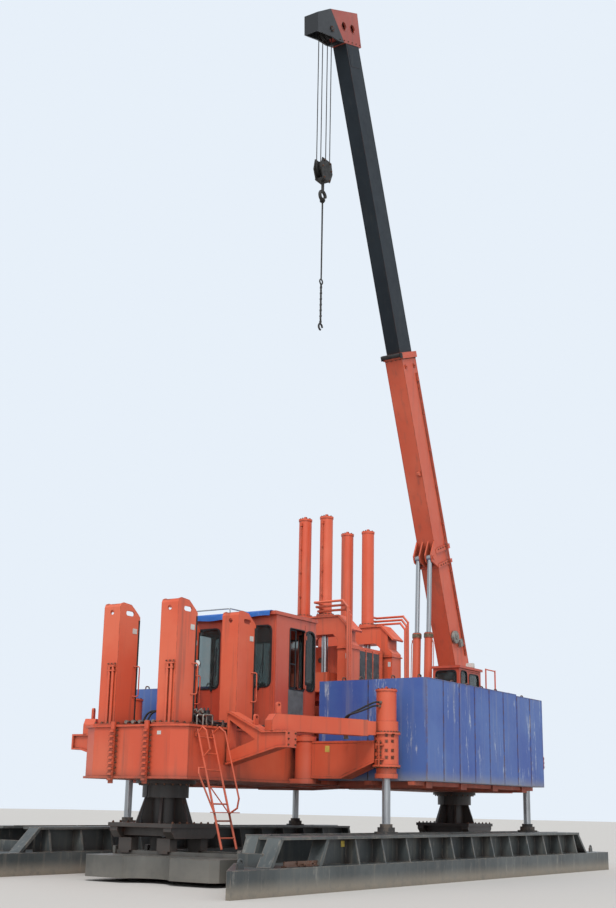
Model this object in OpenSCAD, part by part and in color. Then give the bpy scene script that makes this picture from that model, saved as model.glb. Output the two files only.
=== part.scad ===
// Static press-in pile driver rig that walks on long and short shoes, with a service crane.
// X runs along the machine towards the crane, Y across it, Z up. The origin is on the
// ground under the axis of the pile passage. "near" is the -Y side, "far" the +Y side.
// "front" is the -X end, which carries the side pile columns, "rear" is the crane end.

/* [Platform] */
// Width of the main girder body
body_w = 2400; // [2200:10:2600]
// Length of the main girder body
body_len = 13900; // [13600:10:14400]
// Height of the underside of the body above the ground
body_bottom = 1770; // [1700:10:1800]
// Depth of the main girder body
body_h = 950; // [900:10:1000]
// Thickness of the flange plates round the body
flange_t = 40; // [20:5:60]
// How far the flange plates stand out of the body
flange_out = 30; // [10:5:40]
// Width of one bevelled body corner, measured across the machine
corner_y = 300; // [200:10:400]
// Length of one bevelled body corner, measured along the machine
corner_x = 150; // [100:10:300]
// Width of a rack strip on the front end face
rack_w = 90; // [60:5:120]
// Distance of a rack strip from the middle of the end face
rack_y = 400; // [300:10:500]

/* [Side pile columns] */
// Distance of the outer column pair from the pile axis
column_x_outer = 6590; // [6500:10:6620]
// Distance of the inner column pair from the pile axis
column_x_inner = 4720; // [4600:10:4900]
// Distance of a column's axis from the middle plane
column_y = 700; // [680:10:760]
// Size of a column across the machine
column_w = 400; // [340:10:440]
// Size of a column along the machine
column_d = 580; // [500:10:620]
// Height of a column above the deck
column_h = 2290; // [1800:10:2600]
// Wall of a column
column_t = 24; // [16:2:40]
// Drop of the sloping top of a column
column_drop = 230; // [150:10:300]
// Radius of the eye at the top of a column
column_eye_r = 45; // [30:5:60]

/* [Legs] */
// Distance of each leg from the pile axis, along the machine
leg_x = 3250; // [3200:10:3300]
// Distance of each leg from the middle plane
leg_y = 3200; // [3100:10:3300]
// Outer radius of a leg cylinder
leg_r = 195; // [180:5:200]
// Top of a leg cylinder above the ground
leg_top = 3550; // [3450:10:3700]
// Bottom of a leg cylinder above the ground
leg_bottom = 1880; // [1860:10:1900]
// Radius of a leg rod
leg_rod_r = 80; // [70:5:95]
// Radius of the bolted sleeve round a leg cylinder
sleeve_r = 235; // [220:5:245]
// Height of the bolted sleeve
sleeve_h = 600; // [500:10:650]
// Upward travel of a long shoe when its legs draw in
lift_travel = 800; // [600:10:800]
// Wall of an outrigger arm
arm_w = 420; // [360:10:460]
// Top of an outrigger arm above the ground
arm_top = 2580; // [2540:10:2600]
// Radius of the hinge tube of an outrigger arm
hinge_r = 200; // [160:5:210]
// Distance of the hinge tube from the pile axis, along the machine
hinge_x = 3400; // [3350:10:3450]
// Distance of the hinge tube from the body side
hinge_gap = 240; // [220:5:280]

/* [Side brackets and tie beams] */
// Distance of a side bracket from the pile axis
bracket_x = 5600; // [5500:10:5700]
// Width of a side bracket along the machine
bracket_w = 300; // [240:10:340]
// Distance of the tip of a side bracket from the middle plane
bracket_tip = 2600; // [2500:10:2700]
// Depth of a tie beam
tie_h = 300; // [260:10:320]
// Width of a tie beam
tie_w = 230; // [180:10:260]

/* [Long shoes] */
// Length of a long shoe
shoe_len = 15400; // [15000:50:15800]
// Width of a long shoe
shoe_w = 1600; // [1560:10:1600]
// Height of the sole box of a long shoe
shoe_sole_h = 410; // [360:10:450]
// Height of a long shoe's rim above the ground
shoe_rim_z = 870; // [840:10:880]
// Distance between two gusset ribs
rib_pitch = 889; // [800:1:950]
// Number of gusset ribs on each side
rib_count = 12; // [10:1:13]
// Thickness of a gusset rib
rib_t = 40; // [25:5:60]
// Offset of the near shoe from the pile axis as it stands
near_shoe_offset = -1500; // [-1500:10:-1400]
// Offset of the far shoe from the pile axis as it stands
far_shoe_offset = -500; // [-600:10:-400]
// Walking travel of a long shoe to each side of the middle
walk_half = 1800; // [1600:10:1800]

/* [Short shoes] */
// Length of a short shoe across the machine
step_len = 3000; // [2800:10:3020]
// Width of a short shoe along the machine
step_w = 2600; // [2500:10:2700]
// Thickness of a short shoe
step_t = 370; // [340:10:390]
// Height of a short shoe's underside above the ground while it hangs
step_bottom = 80; // [60:5:100]
// Distance of a short shoe's turning axis from the pile axis
step_x = 5900; // [5850:10:5950]
// Offset of the short shoes from the middle plane as they hang
step_offset = -700; // [-700:10:-600]

/* [Press] */
// Distance of a portal from the pile axis
portal_x = 930; // [920:5:960]
// Width of a portal beam along the machine
portal_w = 420; // [380:10:440]
// Top of a portal above the ground
portal_top = 5400; // [5200:10:5600]
// Depth of a portal beam
portal_beam_h = 380; // [340:10:420]
// Distance of a portal's outer face from the middle plane
portal_y = 1070; // [1040:10:1120]
// Width of one portal upright across the machine
upright_w = 320; // [280:10:330]
// Distance of a press cylinder from the middle plane
press_y = 290; // [270:5:300]
// Outer radius of a press cylinder
press_r = 145; // [130:5:155]
// Top of a press cylinder above the ground
press_top = 7800; // [7600:10:8000]
// Radius of a press rod
press_rod_r = 75; // [60:5:85]
// Press travel
press_travel = 1700; // [1400:10:1700]
// Half length of the clamp box along the machine
clamp_x = 660; // [620:10:680]
// Half width of the clamp box across the machine
clamp_y = 900; // [860:10:920]
// Height of the clamp box
clamp_h = 1200; // [1000:10:1200]
// Underside of the clamp box above the ground at the top of its travel
clamp_bottom = 3620; // [3620:10:3700]
// Radius of the pile passage through the clamp jaws
passage_r = 300; // [250:5:300]
// Travel of a clamp jaw
jaw_travel = 100; // [50:5:110]

/* [Counterweights] */
// Half length of a counterweight stack
stack_half = 2800; // [2600:10:2820]
// Distance of a stack's outer face from the middle plane
stack_outer = 3840; // [3700:10:3900]
// Distance of a stack's inner face from the middle plane
stack_inner = 1370; // [1340:10:1400]
// Distance of the seam between the two rows from the middle plane
stack_seam = 2530; // [2400:10:2700]
// Underside of the stack above the ground
stack_bottom = 1850; // [1850:10:1870]
// Top of the stack above the ground
stack_top = 3810; // [3500:10:3900]
// Number of slabs in one row
slab_count = 8; // [6:1:10]
// Gap between two slabs
slab_gap = 12; // [8:1:20]

/* [Cab] */
// Distance of the cab's front wall from the pile axis
cab_front = 4150; // [4100:10:4170]
// Distance of the cab's rear wall from the pile axis
cab_rear = 2700; // [2650:10:2800]
// Width of the cab
cab_w = 2400; // [2200:10:2400]
// Height of the cab walls
cab_h = 2300; // [2100:10:2350]
// Wall of the cab
cab_t = 50; // [40:5:60]
// Width of the cab door
cab_door_w = 640; // [560:10:660]
// Pane thickness
pane_t = 8; // [6:1:12]

/* [Crane] */
// Distance of the slewing axis from the pile axis
slew_x = 5200; // [5150:10:5250]
// Radius of the crane pedestal
pedestal_r = 720; // [640:10:760]
// Height of the crane pedestal above the deck
pedestal_h = 400; // [380:10:440]
// Distance of the boom pivot from the pile axis
boom_pivot_x = 6250; // [6200:10:6300]
// Height of the boom pivot above the ground
boom_pivot_z = 4300; // [4250:10:4350]
// Lean of the boom from the vertical as it stands
boom_lean = 20.5; // [18:0.5:22]
// Length of the boom's base section
boom_base_len = 9300; // [9000:50:9600]
// Depth of the boom's base section
boom_d = 780; // [760:10:800]
// Width of the boom's base section
boom_w = 500; // [480:10:520]
// Wall of the base section
boom_t = 45; // [40:1:48]
// Clearance of the inner section in the base section
boom_gap = 10; // [8:1:15]
// Length of the boom up to the head
boom_len = 17500; // [17000:50:18000]
// Lower end of the inner section inside the base section
inner_start = 8300; // [8250:10:8500]
// Travel of the inner section
boom_travel = 7500; // [6000:50:7500]
// Distance of the luffing cylinder foot from the pile axis
luff_foot_x = 4120; // [4080:10:4160]
// Height of the luffing cylinder foot above the ground
luff_foot_z = 3560; // [3540:10:3600]
// Distance along the boom from its pivot to the luffing pins
luff_pin_s = 3860; // [3800:10:3900]
// Distance of the luffing pins below the boom's axis
luff_pin_v = 620; // [600:10:640]
// Distance of a luffing cylinder from the middle plane
luff_y = 170; // [168:1:175]
// Outer radius of a luffing cylinder
luff_r = 105; // [90:5:110]
// Radius of a luffing rod
luff_rod_r = 60; // [50:5:70]
// Length of a luffing barrel from its foot pin
luff_barrel_len = 2150; // [2050:10:2200]

/* [Hook] */
// Distance of the head sheaves below the boom's axis
sheave_v = 975; // [950:5:1000]
// Distance along the boom from its pivot to the head sheaves
sheave_s = 17770; // [17750:10:17800]
// Groove radius of the sheaves
sheave_r = 193; // [180:1:210]
// Radius of the hoist rope
rope_r = 12; // [9:1:14]
// Distance from the head sheave pin to the block's sheave pin
fall_len = 3950; // [3000:50:4500]
// Spacing of the two rope loops
loop_y = 60; // [50:1:75]

/* [Hidden] */

$fn = 48;
eps = 1;
paint = [0.80, 0.23, 0.12];
steel_dark = [0.16, 0.18, 0.19];
rod_steel = [0.75, 0.76, 0.77];
slab_blue = [0.15, 0.28, 0.62];

deck_z = body_bottom + body_h;
half_w = body_w / 2;
half_len = body_len / 2;
run_fit = 0.05;
seat_gap = 0.3;
clamp_top = clamp_bottom + clamp_h;
head_gap = 10;

// A box given by its corner values
module block(x0, x1, y0, y1, z0, z1) {
  translate([x0, y0, z0]) cube([x1 - x0, y1 - y0, z1 - z0]);
}

// A profile in the Y-Z plane, extruded along X from x0
module yz_plate(x0, t, points) {
  translate([x0, 0, 0]) rotate([90, 0, 90]) linear_extrude(t) polygon(points);
}

// A profile in the X-Z plane, extruded along Y from y0
module xz_plate(y0, t, points) {
  translate([0, y0 + t, 0]) rotate([90, 0, 0]) linear_extrude(t) polygon(points);
}

// A round bar between two points
module bar(a, b, r) {
  d = b - a;
  translate(a) rotate([0, acos(d[2] / norm(d)), atan2(d[1], d[0])])
    cylinder(h = norm(d), r = r, $fn = 24);
}

// A bent round bar through a list of points, with ball elbows
module bent_bar(points, r) {
  for (i = [0:len(points) - 2]) bar(points[i], points[i + 1], r);
  if (len(points) > 2)
    for (i = [1:len(points) - 2]) translate(points[i]) sphere(r = 1.15 * r, $fn = 24);
}

// Copies of the children to the near and the far side, drawn for the far side
module both_sides() {
  children();
  mirror([0, 1, 0]) children();
}

// Copies of the children to both ends, drawn for the rear end
module both_ends() {
  children();
  mirror([1, 0, 0]) children();
}

// PLATFORM

// Outline of the body seen from above, with bevelled corners
module body_plan(grow) {
  hx = half_len + grow;
  hy = half_w + grow;
  polygon([
    [-hx, -hy + corner_y], [-hx + corner_x, -hy], [hx - corner_x, -hy], [hx, -hy + corner_y],
    [hx, hy - corner_y], [hx - corner_x, hy], [-hx + corner_x, hy], [-hx, hy - corner_y]
  ]);
}

well_gap = 60;

module platform_frame() {
  color(paint) {
    difference() {
      union() {
        translate([0, 0, body_bottom]) linear_extrude(body_h) body_plan(0);
        translate([0, 0, body_bottom]) linear_extrude(flange_t) body_plan(flange_out);
        translate([0, 0, deck_z - flange_t]) linear_extrude(flange_t) body_plan(flange_out);
        hinge_lugs();
        stack_beams();
      }
      // Well of the clamp box and its two yokes
      block(-clamp_x - well_gap, clamp_x + well_gap, -clamp_y - well_gap, clamp_y + well_gap,
        body_bottom - eps, deck_z + eps);
      block(-portal_x - 260, portal_x + 260, -press_y - 310, press_y + 310,
        body_bottom - eps, deck_z + eps);
    }
    racks();
  }
}

// Upper and lower lug plates that hold the hinge tubes of the outrigger arms
lug_t = 90;
module hinge_lugs() {
  for (z = [body_bottom, arm_top + seat_gap])
    both_sides() both_ends()
      translate([0, 0, z]) linear_extrude(lug_t) union() {
        translate([hinge_x, half_w + hinge_gap]) circle(r = hinge_r + 20);
        translate([hinge_x - hinge_r - 20, half_w - 100]) square([2 * hinge_r + 40, hinge_gap + 100]);
      }
}

// Cross beams under the counterweight stacks, deeper at the root
beam_w = 260;
beam_tip_t = 125;
module stack_beams() {
  top = stack_bottom;
  both_sides() for (y = [stack_inner + 60, stack_seam - 90, stack_outer - 430])
    block(-stack_half + 10, stack_half - 10, y, y + 150, top - 80, top);
  both_sides() for (x = [-2250, -750, 750, 2250])
    yz_plate(x - beam_w / 2, beam_w, [
      [half_w - 50, top - 420 + 345], [half_w - 50, top], [stack_outer - 250, top],
      [stack_outer - 250, top - beam_tip_t], [half_w + 900, top - beam_tip_t]
    ]);
}

// Toothed strips on the front end face
tooth_pitch = 95;
tooth_h = 45;
module racks() {
  for (y = [-rack_y, rack_y]) {
    block(-half_len - flange_out - 40, -half_len - flange_out, y - rack_w / 2, y + rack_w / 2,
      body_bottom - 90, deck_z + 60);
    for (i = [0:9])
      block(-half_len - flange_out - 75, -half_len - flange_out - 40, y - rack_w / 2, y + rack_w / 2,
        body_bottom - 40 + i * tooth_pitch, body_bottom - 40 + i * tooth_pitch + tooth_h);
  }
}

// Side brackets: a box arm with a triangular window and a lug on its sloping top
module side_brackets() {
  root = half_w + flange_out;
  tip = bracket_tip;
  flat_z = 2640;
  color(paint) both_sides() both_ends() difference() {
    union() {
      yz_plate(bracket_x - bracket_w / 2 + 40, bracket_w - 80, [
        [root, 2060], [root, 3000], [root + 70, 3000], [2040, flat_z], [tip, flat_z], [tip, 2360],
        [tip - 220, 2360]
      ]);
      // Top flange, bottom flange and tip plate
      yz_plate(bracket_x - bracket_w / 2, bracket_w, [
        [root, 2970], [root, 3010], [root + 80, 3010], [2050, flat_z + 10], [tip, flat_z + 10],
        [tip, flat_z - 25], [2030, flat_z - 25], [root + 62, 2970]
      ]);
      yz_plate(bracket_x - bracket_w / 2, bracket_w, [
        [root, 2040], [root, 2080], [tip - 230, 2385], [tip, 2385], [tip, 2350], [tip - 215, 2350]
      ]);
      block(bracket_x - bracket_w / 2, bracket_x + bracket_w / 2, tip - 40, tip, 2350, flat_z + 10);
      // Lug on the slope
      xz_lug(bracket_x, 1800, 2730, 60);
    }
    // Triangular window
    yz_plate(bracket_x - bracket_w, 2 * bracket_w, [[1290, 2300], [1290, 2850], [1870, 2500]]);
    translate([bracket_x, 1800 - 100, 2900]) rotate([-90, 0, 0]) cylinder(h = 200, r = 28);
  }
}

// A rounded lifting lug that stands across the machine
module xz_lug(x, y, z, r) {
  translate([x, y + 22, z]) rotate([90, 0, 0]) linear_extrude(44) union() {
    translate([-r, 0]) square([2 * r, 170]);
    translate([0, 170]) circle(r = r);
  }
}

// SIDE PILE COLUMNS

// One column: an open box with an eye in its front plate and a sloping top
module column() {
  w = column_w / 2;
  d = column_d / 2;
  difference() {
    translate([0, 0, deck_z]) xz_plate(-w, column_w, [
      [-d, 0], [d, 0], [d, column_h - column_drop], [d - 60, column_h - 0.75 * column_drop],
      [0.1 * d, column_h - 20], [-d + 90, column_h], [-d + 25, column_h - 25], [-d, column_h - 90]
    ]);
    // Hollow, open at the top
    translate([0, 0, deck_z]) block(-d + column_t, d - column_t, -w + column_t, w - column_t,
      column_t, column_h + eps);
    // Eye in the front plate, and the lower cut of the rear plate
    translate([-d - eps, 0, deck_z + column_h - 190]) rotate([0, 90, 0])
      cylinder(h = column_t + 2 * eps, r = column_eye_r);
    translate([d - column_t - eps, 0, deck_z + column_h - column_drop - 60]) rotate([0, 90, 0])
      cylinder(h = column_t + 2 * eps, r = column_eye_r);
    // Round-ended slot through both side plates
    translate([0, -w - eps, deck_z + column_h - 190]) {
      block(-70, 70, 0, column_w + 2 * eps, -45, 45);
      for (x = [-70, 70]) translate([x, 0, 0]) rotate([-90, 0, 0]) cylinder(h = column_w + 2 * eps, r = 45);
    }
  }
  // Foot plate round the column
  difference() {
    block(-d - 60, d + 60, -w - 60, w + 60, deck_z, deck_z + 30);
    block(-d + eps, d - eps, -w + eps, w - eps, deck_z - eps, deck_z + 30 + eps);
  }
}

module side_pile_columns() {
  color(paint) for (x = [-column_x_outer, -column_x_inner]) for (y = [-column_y, column_y])
    translate([x, y, 0]) column();
}

// Pipes with flange clamps on the outer columns, and the bent pipes over the portals
pipe_r = 26;
module guide_pipes() {
  face = -column_x_outer - column_d / 2;
  pipe_top = deck_z + 1100;
  pipe_foot = deck_z + 30 + seat_gap;
  color(paint) {
    for (y = [-column_y, column_y]) for (s = [-1, 1])
      translate([face - pipe_r - seat_gap, y - 0.2 * column_w + s * 45, pipe_foot])
        cylinder(h = pipe_top - pipe_foot, r = pipe_r, $fn = 24);
    for (y = [-column_y, column_y]) for (z = [pipe_top - 110, pipe_top - 30])
      translate([face - pipe_r - seat_gap, y - 0.2 * column_w, z]) clamp_plate();
    // Pipes from the press cylinders over the portals down to the deck
    both_ends() for (i = [0:2]) {
      x = portal_x + portal_w / 2 + 80 + 70 * i;
      z = portal_top + 130 + i * 90;
      bent_bar([[portal_x + press_r + seat_gap, -press_y, z], [x, -press_y, z], [x, -portal_y + 60, z],
        [x, -portal_y - 70, z - 150], [x, -portal_y - 70, deck_z]], pipe_r);
    }
  }
}

// Clamp plate across a pipe pair
module clamp_plate() {
  block(-26, 26, -95, 95, 0, 24);
}

// LEGS

// Outrigger arms: tapered boxes from the hinge tube to the leg cylinder
module outrigger_arms() {
  root = half_w + hinge_gap;
  color(paint) both_sides() both_ends() {
    difference() {
      union() {
        translate([hinge_x, root, body_bottom + lug_t + seat_gap])
          cylinder(h = arm_top - body_bottom - lug_t - seat_gap, r = hinge_r);
        yz_plate(leg_x - arm_w / 2 + 50, arm_w - 60, [
          [root, 1900], [root, arm_top - 20], [leg_y - 150, arm_top - 20], [leg_y - 150, 2200],
          [leg_y - 900, 1900]
        ]);
        yz_plate(leg_x - arm_w / 2, arm_w, [
          [root + 150, arm_top - 40], [root + 150, arm_top], [leg_y - 150, arm_top],
          [leg_y - 150, arm_top - 40]
        ]);
        yz_plate(leg_x - arm_w / 2, arm_w, [
          [root + 150, 1870], [root + 150, 1910], [leg_y - 905, 1910], [leg_y - 150, 2215],
          [leg_y - 150, 2170], [leg_y - 895, 1870]
        ]);
      }
      translate([leg_x, leg_y, 0]) cylinder_between(leg_bottom + 200, 3000, sleeve_r + run_fit);
      translate([leg_x, leg_y, 0]) cylinder_between(0, leg_bottom + 255, sleeve_r + 40);
    }
  }
}

// Leg cylinders with a bolted sleeve at the arm and a collar at the bottom
pocket_rows = [350, 480, 650, 760];
module leg_cylinders() {
  color(paint) both_sides() both_ends() translate([leg_x, leg_y, 0]) difference() {
    union() {
      translate([0, 0, leg_bottom]) cylinder(h = leg_top - leg_bottom, r = leg_r);
      translate([0, 0, leg_bottom + 250]) cylinder(h = sleeve_h, r = sleeve_r);
      translate([0, 0, leg_bottom]) cylinder(h = 90, r = leg_r + 25);
      translate([0, 0, leg_top - 40]) cylinder(h = 40, r = leg_r + 15);
      for (z = [-40, sleeve_h - 40]) translate([0, 0, leg_bottom + 250 + z])
        cylinder(h = 40, r = sleeve_r + 35);
      // Collar that the tie beam is pinned to
      cylinder_between(leg_bottom + 250 + sleeve_h - eps, tie_z + tie_h - 10, leg_r + 35);
      // Bolted side flange with its two stiffeners
      block(leg_r, sleeve_r + 50, -14, 14, leg_bottom + 210, leg_bottom + 700);
      for (z = [leg_bottom + 330, leg_bottom + 600])
        block(leg_r, sleeve_r + 42, -80, 80, z, z + 26);
    }
    // Bolt pockets of the sleeve
    for (a = [-60, -30, 30, 60]) rotate([0, 0, a]) for (z = pocket_rows)
      block(sleeve_r - 16, sleeve_r + 40, -32, 32, leg_bottom + z, leg_bottom + z + 62);
    translate([0, 0, leg_bottom - eps])
      cylinder(h = leg_top - leg_bottom - 80, r = leg_rod_r + run_fit);
  }
}

// Tie beams from the side brackets to the leg cylinders
tie_root = [5600, 2230];
tie_end = [3480, 3010];
tie_z = 2650 + seat_gap;
module tie_beams() {
  z0 = tie_z;
  d = tie_end - tie_root;
  len_t = norm(d);
  turn = atan2(d[1], d[0]);
  color(paint) both_sides() both_ends() difference() {
    union() {
      translate([tie_root[0], tie_root[1], z0]) rotate([0, 0, turn]) {
        xz_plate(-tie_w / 2, tie_w, [
          [-150, 0], [len_t - 180, 0], [len_t - 180, tie_h], [-60, tie_h], [-150, tie_h - 120]
        ]);
        block(len_t - 180, len_t + 20, -tie_w / 2, -tie_w / 2 + 40, 20, tie_h - 20);
        block(len_t - 180, len_t + 20, tie_w / 2 - 40, tie_w / 2, 20, tie_h - 20);
      }
      translate([tie_root[0], tie_root[1], z0 + tie_h - eps]) rotate([0, 0, turn])
        xz_lug(60, 0, 0, 50);
    }
    translate([leg_x, leg_y, 0]) cylinder_between(0, 4000, leg_r + 35 + run_fit);
    translate([leg_x, leg_y, 0]) cylinder_between(0, leg_bottom + 250 + sleeve_h + 5, sleeve_r + 40);
    translate([tie_root[0], tie_root[1], z0 + tie_h + 165]) rotate([0, 0, turn])
      translate([60, 100, 0]) rotate([90, 0, 0]) cylinder(h = 200, r = 24);
  }
}

// Rods and trolleys of the two legs of one side, drawn for the far side. A trolley runs
// along the channel of the long shoe and carries the foot cup of its rod.
trolley_len = 900;
trolley_w = 860;
channel_w = 1000;
slot_w = 560;
foot_top = 1050;
module legs() {
  color(rod_steel) for (x = [-leg_x, leg_x]) translate([x, leg_y, 0])
    cylinder_between(foot_top - eps, foot_top + 1450, leg_rod_r);
  color(steel_dark) for (x = [-leg_x, leg_x]) translate([x, leg_y, 0]) {
    xz_plate(-trolley_w / 2, trolley_w, [
      [-trolley_len / 2, shoe_sole_h + seat_gap], [trolley_len / 2, shoe_sole_h + seat_gap],
      [trolley_len / 2, 640], [trolley_len / 2 - 120, 720], [-trolley_len / 2 + 120, 720],
      [-trolley_len / 2, 640]
    ]);
    block(-300, 300, -slot_w / 2 + 40, slot_w / 2 - 40, 720 - eps, shoe_rim_z - 40);
    cylinder_between(shoe_rim_z - 40 - eps, shoe_rim_z + 40, 225);
    cylinder_between(shoe_rim_z + 40 - eps, foot_top - 60, 165);
    cylinder_between(foot_top - 60 - eps, foot_top, 120);
  }
}

// One long shoe about its own middle, its outer side toward -y. The inner corner of its
// front end is cut away, which leaves room for the short shoe to turn.
web_out = 300;
rim_in = 280;
rim_w = 460;
rim_t = 45;
rib_start = -4010;
post_w = 90;
post_1 = -6260;
post_2 = -4915;
post_3 = 5980;
end_cut = 2250;
inner_web_x = -5250;
end_wall_h = 210;
module long_shoe() {
  hw = shoe_w / 2;
  hl = shoe_len / 2;
  web_y = hw - web_out;
  web_t = 30;
  wall_t = 40;
  color(steel_dark) {
    // Sole box
    linear_extrude(shoe_sole_h) polygon([
      [-hl, -hw], [hl, -hw], [hl, hw], [-hl + end_cut, hw], [-hl, 80 - hw]
    ]);
    shoe_side(hw, web_y, web_t, post_2, post_1);
    mirror([0, 1, 0]) shoe_side(hw, web_y, web_t, inner_web_x, inner_web_x);
    // Sloping end posts: top of the post, how far it leans out and its side
    for (p = [
      [post_1, -295, -1], [post_2, -235, -1], [inner_web_x, -200, 1], [post_3, 500, -1], [post_3, 500, 1]
    ])
      mirror([0, p[2] < 0 ? 1 : 0, 0]) xz_plate(web_y - 60, 260, [
        [p[0] + p[1], shoe_sole_h - eps], [p[0] + p[1] + post_w, shoe_sole_h - eps],
        [p[0] + post_w, shoe_rim_z - 5], [p[0], shoe_rim_z - 5]
      ]);
    // Low walls that close the channel at both ends
    translate([0, 0, shoe_sole_h - eps]) linear_extrude(end_wall_h) polygon([
      [post_1 - 190, 20 - web_y], [post_1 - 190 + wall_t, 20 - web_y], [post_1 - 190 + wall_t, -20],
      [-5690, web_y - 20], [-5750, web_y - 20], [post_1 - 190, 0]
    ]);
    block(post_3 + 200, post_3 + 200 + wall_t, 20 - web_y, web_y - 20,
      shoe_sole_h - eps, shoe_sole_h + end_wall_h);
  }
}

// Web, rim and gusset ribs of one side of a long shoe
module shoe_side(hw, web_y, web_t, web_start, rim_start) {
  block(web_start, post_3, -web_y, web_t - web_y, shoe_sole_h - eps, shoe_rim_z - rim_t + eps);
  block(rim_start - 10, post_3 + 100, 20 - rim_in - rim_w, -rim_in, shoe_rim_z - rim_t, shoe_rim_z);
  for (k = [0:rib_count - 1]) yz_plate(rib_start + k * rib_pitch, rib_t, [
    [2 - web_y, shoe_sole_h - eps], [30 - hw, shoe_sole_h - eps], [35 - hw, shoe_sole_h + 30],
    [60 - rim_in - rim_w, shoe_rim_z - rim_t + eps], [2 - web_y, shoe_rim_z - rim_t + eps]
  ]);
}

// SHORT SHOES

rail_gauge = 450;
rail_h = 70;
rail_w = 110;
bogie_top = 1000;

// A bogie that slides on the rails of a short shoe and carries the body on its turning ring
module step_carriage() {
  top = body_bottom - seat_gap;
  rail_top = step_bottom + step_t + rail_h;
  color(steel_dark) {
    cylinder_between(top - 70, top, 550);
    cylinder_between(top - 320, top - 70 + eps, 430);
    cylinder_between(bogie_top - eps, top - 320 + eps, 250);
    for (a = [0:60:300]) rotate([0, 0, a + 30])
      xz_plate(-20, 40, [
        [240, bogie_top - eps], [560, bogie_top - eps], [400, top - 319], [240, top - 319]
      ]);
    block(-700, 700, -750, 750, bogie_top - 70, bogie_top);
    for (y = [-720, 540]) xz_plate(y, 180, [
      [-680, bogie_top - 70 + eps], [-680, 860], [-560, 740],
        [560, 740], [680, 860], [680, bogie_top - 70 + eps]
    ]);
    for (x = [-rail_gauge - 40, rail_gauge - 40]) block(x, x + 80, -541, 541, 780, bogie_top - 70 + eps);
    // Sliding pads with their side cheeks
    for (x = [-rail_gauge, rail_gauge]) for (y = [-450, 450]) {
      block(x - 100, x + 100, y - 150, y + 150, rail_top + seat_gap, 741);
      for (s = [-1, 1])
        block(x + s * 85 - 15, x + s * 85 + 15, y - 100, y + 100, rail_top - 45, rail_top + 60);
    }
  }
}

// A round post between two heights
module cylinder_between(z0, z1, r) {
  translate([0, 0, z0]) cylinder(h = z1 - z0, r = r);
}

// A short shoe about its own middle, drawn with its round notch towards -X
notch_r = 620;
notch_out = 330;
module short_shoe() {
  hx = step_w / 2;
  hy = step_len / 2;
  c = 120;
  color(steel_dark) difference() {
    union() {
      translate([0, 0, step_bottom]) linear_extrude(step_t) polygon([
        [-hx, -hy + c], [-hx + c, -hy], [hx - c, -hy], [hx, -hy + c], [hx, hy - c], [hx - c, hy],
        [-hx + c, hy], [-hx, hy - c]
      ]);
      for (x = [-rail_gauge, rail_gauge])
        block(x - rail_w / 2, x + rail_w / 2, -hy + 60, hy - 60, step_bottom + step_t - eps,
          step_bottom + step_t + rail_h);
      // Stop lugs at the ends of the rails
      for (x = [-rail_gauge, rail_gauge]) for (y = [-hy + 60, hy - 120])
        block(x - 90, x + 90, y, y + 60, step_bottom + step_t - eps, step_bottom + step_t + rail_h + 70);
    }
    translate([-hx - notch_out, 0, step_bottom - eps]) cylinder(h = step_t + 2 * eps, r = notch_r);
  }
}

// PRESS

// Portals: uprights with bevelled shoulders, a beam, a top flange and sloping cap plates
cap_t = 40;
cap_y = 300;
cap_drop = 330;
neck_in = 110;
module press_portals() {
  w = portal_w / 2;
  beam_z = portal_top - portal_beam_h;
  shoulder_z = portal_top - 620;
  color(paint) both_ends() difference() {
    union() {
      both_sides() yz_plate(portal_x - w, portal_w, [
        [-eps, beam_z], [-eps, portal_top], [portal_y - cap_y, portal_top],
        [portal_y - neck_in, portal_top - cap_y + neck_in], [portal_y - neck_in, shoulder_z + neck_in],
        [portal_y, shoulder_z], [portal_y, deck_z], [portal_y - upright_w, deck_z],
        [portal_y - upright_w, beam_z - 120], [portal_y - upright_w - 120, beam_z]
      ]);
      // Sloping cap plates
      both_sides() yz_plate(portal_x - w - 28, portal_w + 56, [
        [portal_y - cap_y - 2, portal_top - eps], [portal_y - cap_y - 2, portal_top + cap_t],
        [portal_y - cap_y + 16, portal_top + cap_t], [portal_y + 55, portal_top - cap_drop + 31],
        [portal_y + 29, portal_top - cap_drop]
      ]);
      block(portal_x - w - 28, portal_x + w + 28, -portal_y + cap_y, portal_y - cap_y,
        portal_top - eps, portal_top + cap_t);
      // Foot flanges and the ledge of the cover rail
      both_sides() block(portal_x - w - 40, portal_x + w + 40, portal_y - upright_w - 40, portal_y + 40,
        deck_z, deck_z + 30);
      both_sides() block(portal_x - w - 30, portal_x + w + 30, portal_y - upright_w, portal_y + 24,
        shoulder_z - 90, shoulder_z - 60);
    }
    for (y = [-press_y, press_y]) translate([portal_x, y, beam_z - eps])
      cylinder(h = portal_beam_h + cap_t + 2 * eps, r = press_r + run_fit);
  }
}

module press_cylinders() {
  color(paint) both_ends() both_sides() translate([portal_x, press_y, 0]) difference() {
    union() {
      cylinder_between(portal_top - portal_beam_h, press_top - 60, press_r);
      cylinder_between(portal_top + cap_t, portal_top + cap_t + 50, press_r + 60);
      cylinder_between(press_top - 110, press_top - 60, press_r + 12);
      cylinder_between(press_top - 60, press_top, 35);
    }
    translate([0, 0, portal_top - portal_beam_h - eps])
      cylinder(h = press_top - 160 - portal_top + portal_beam_h, r = press_rod_r + run_fit);
  }
}

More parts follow.
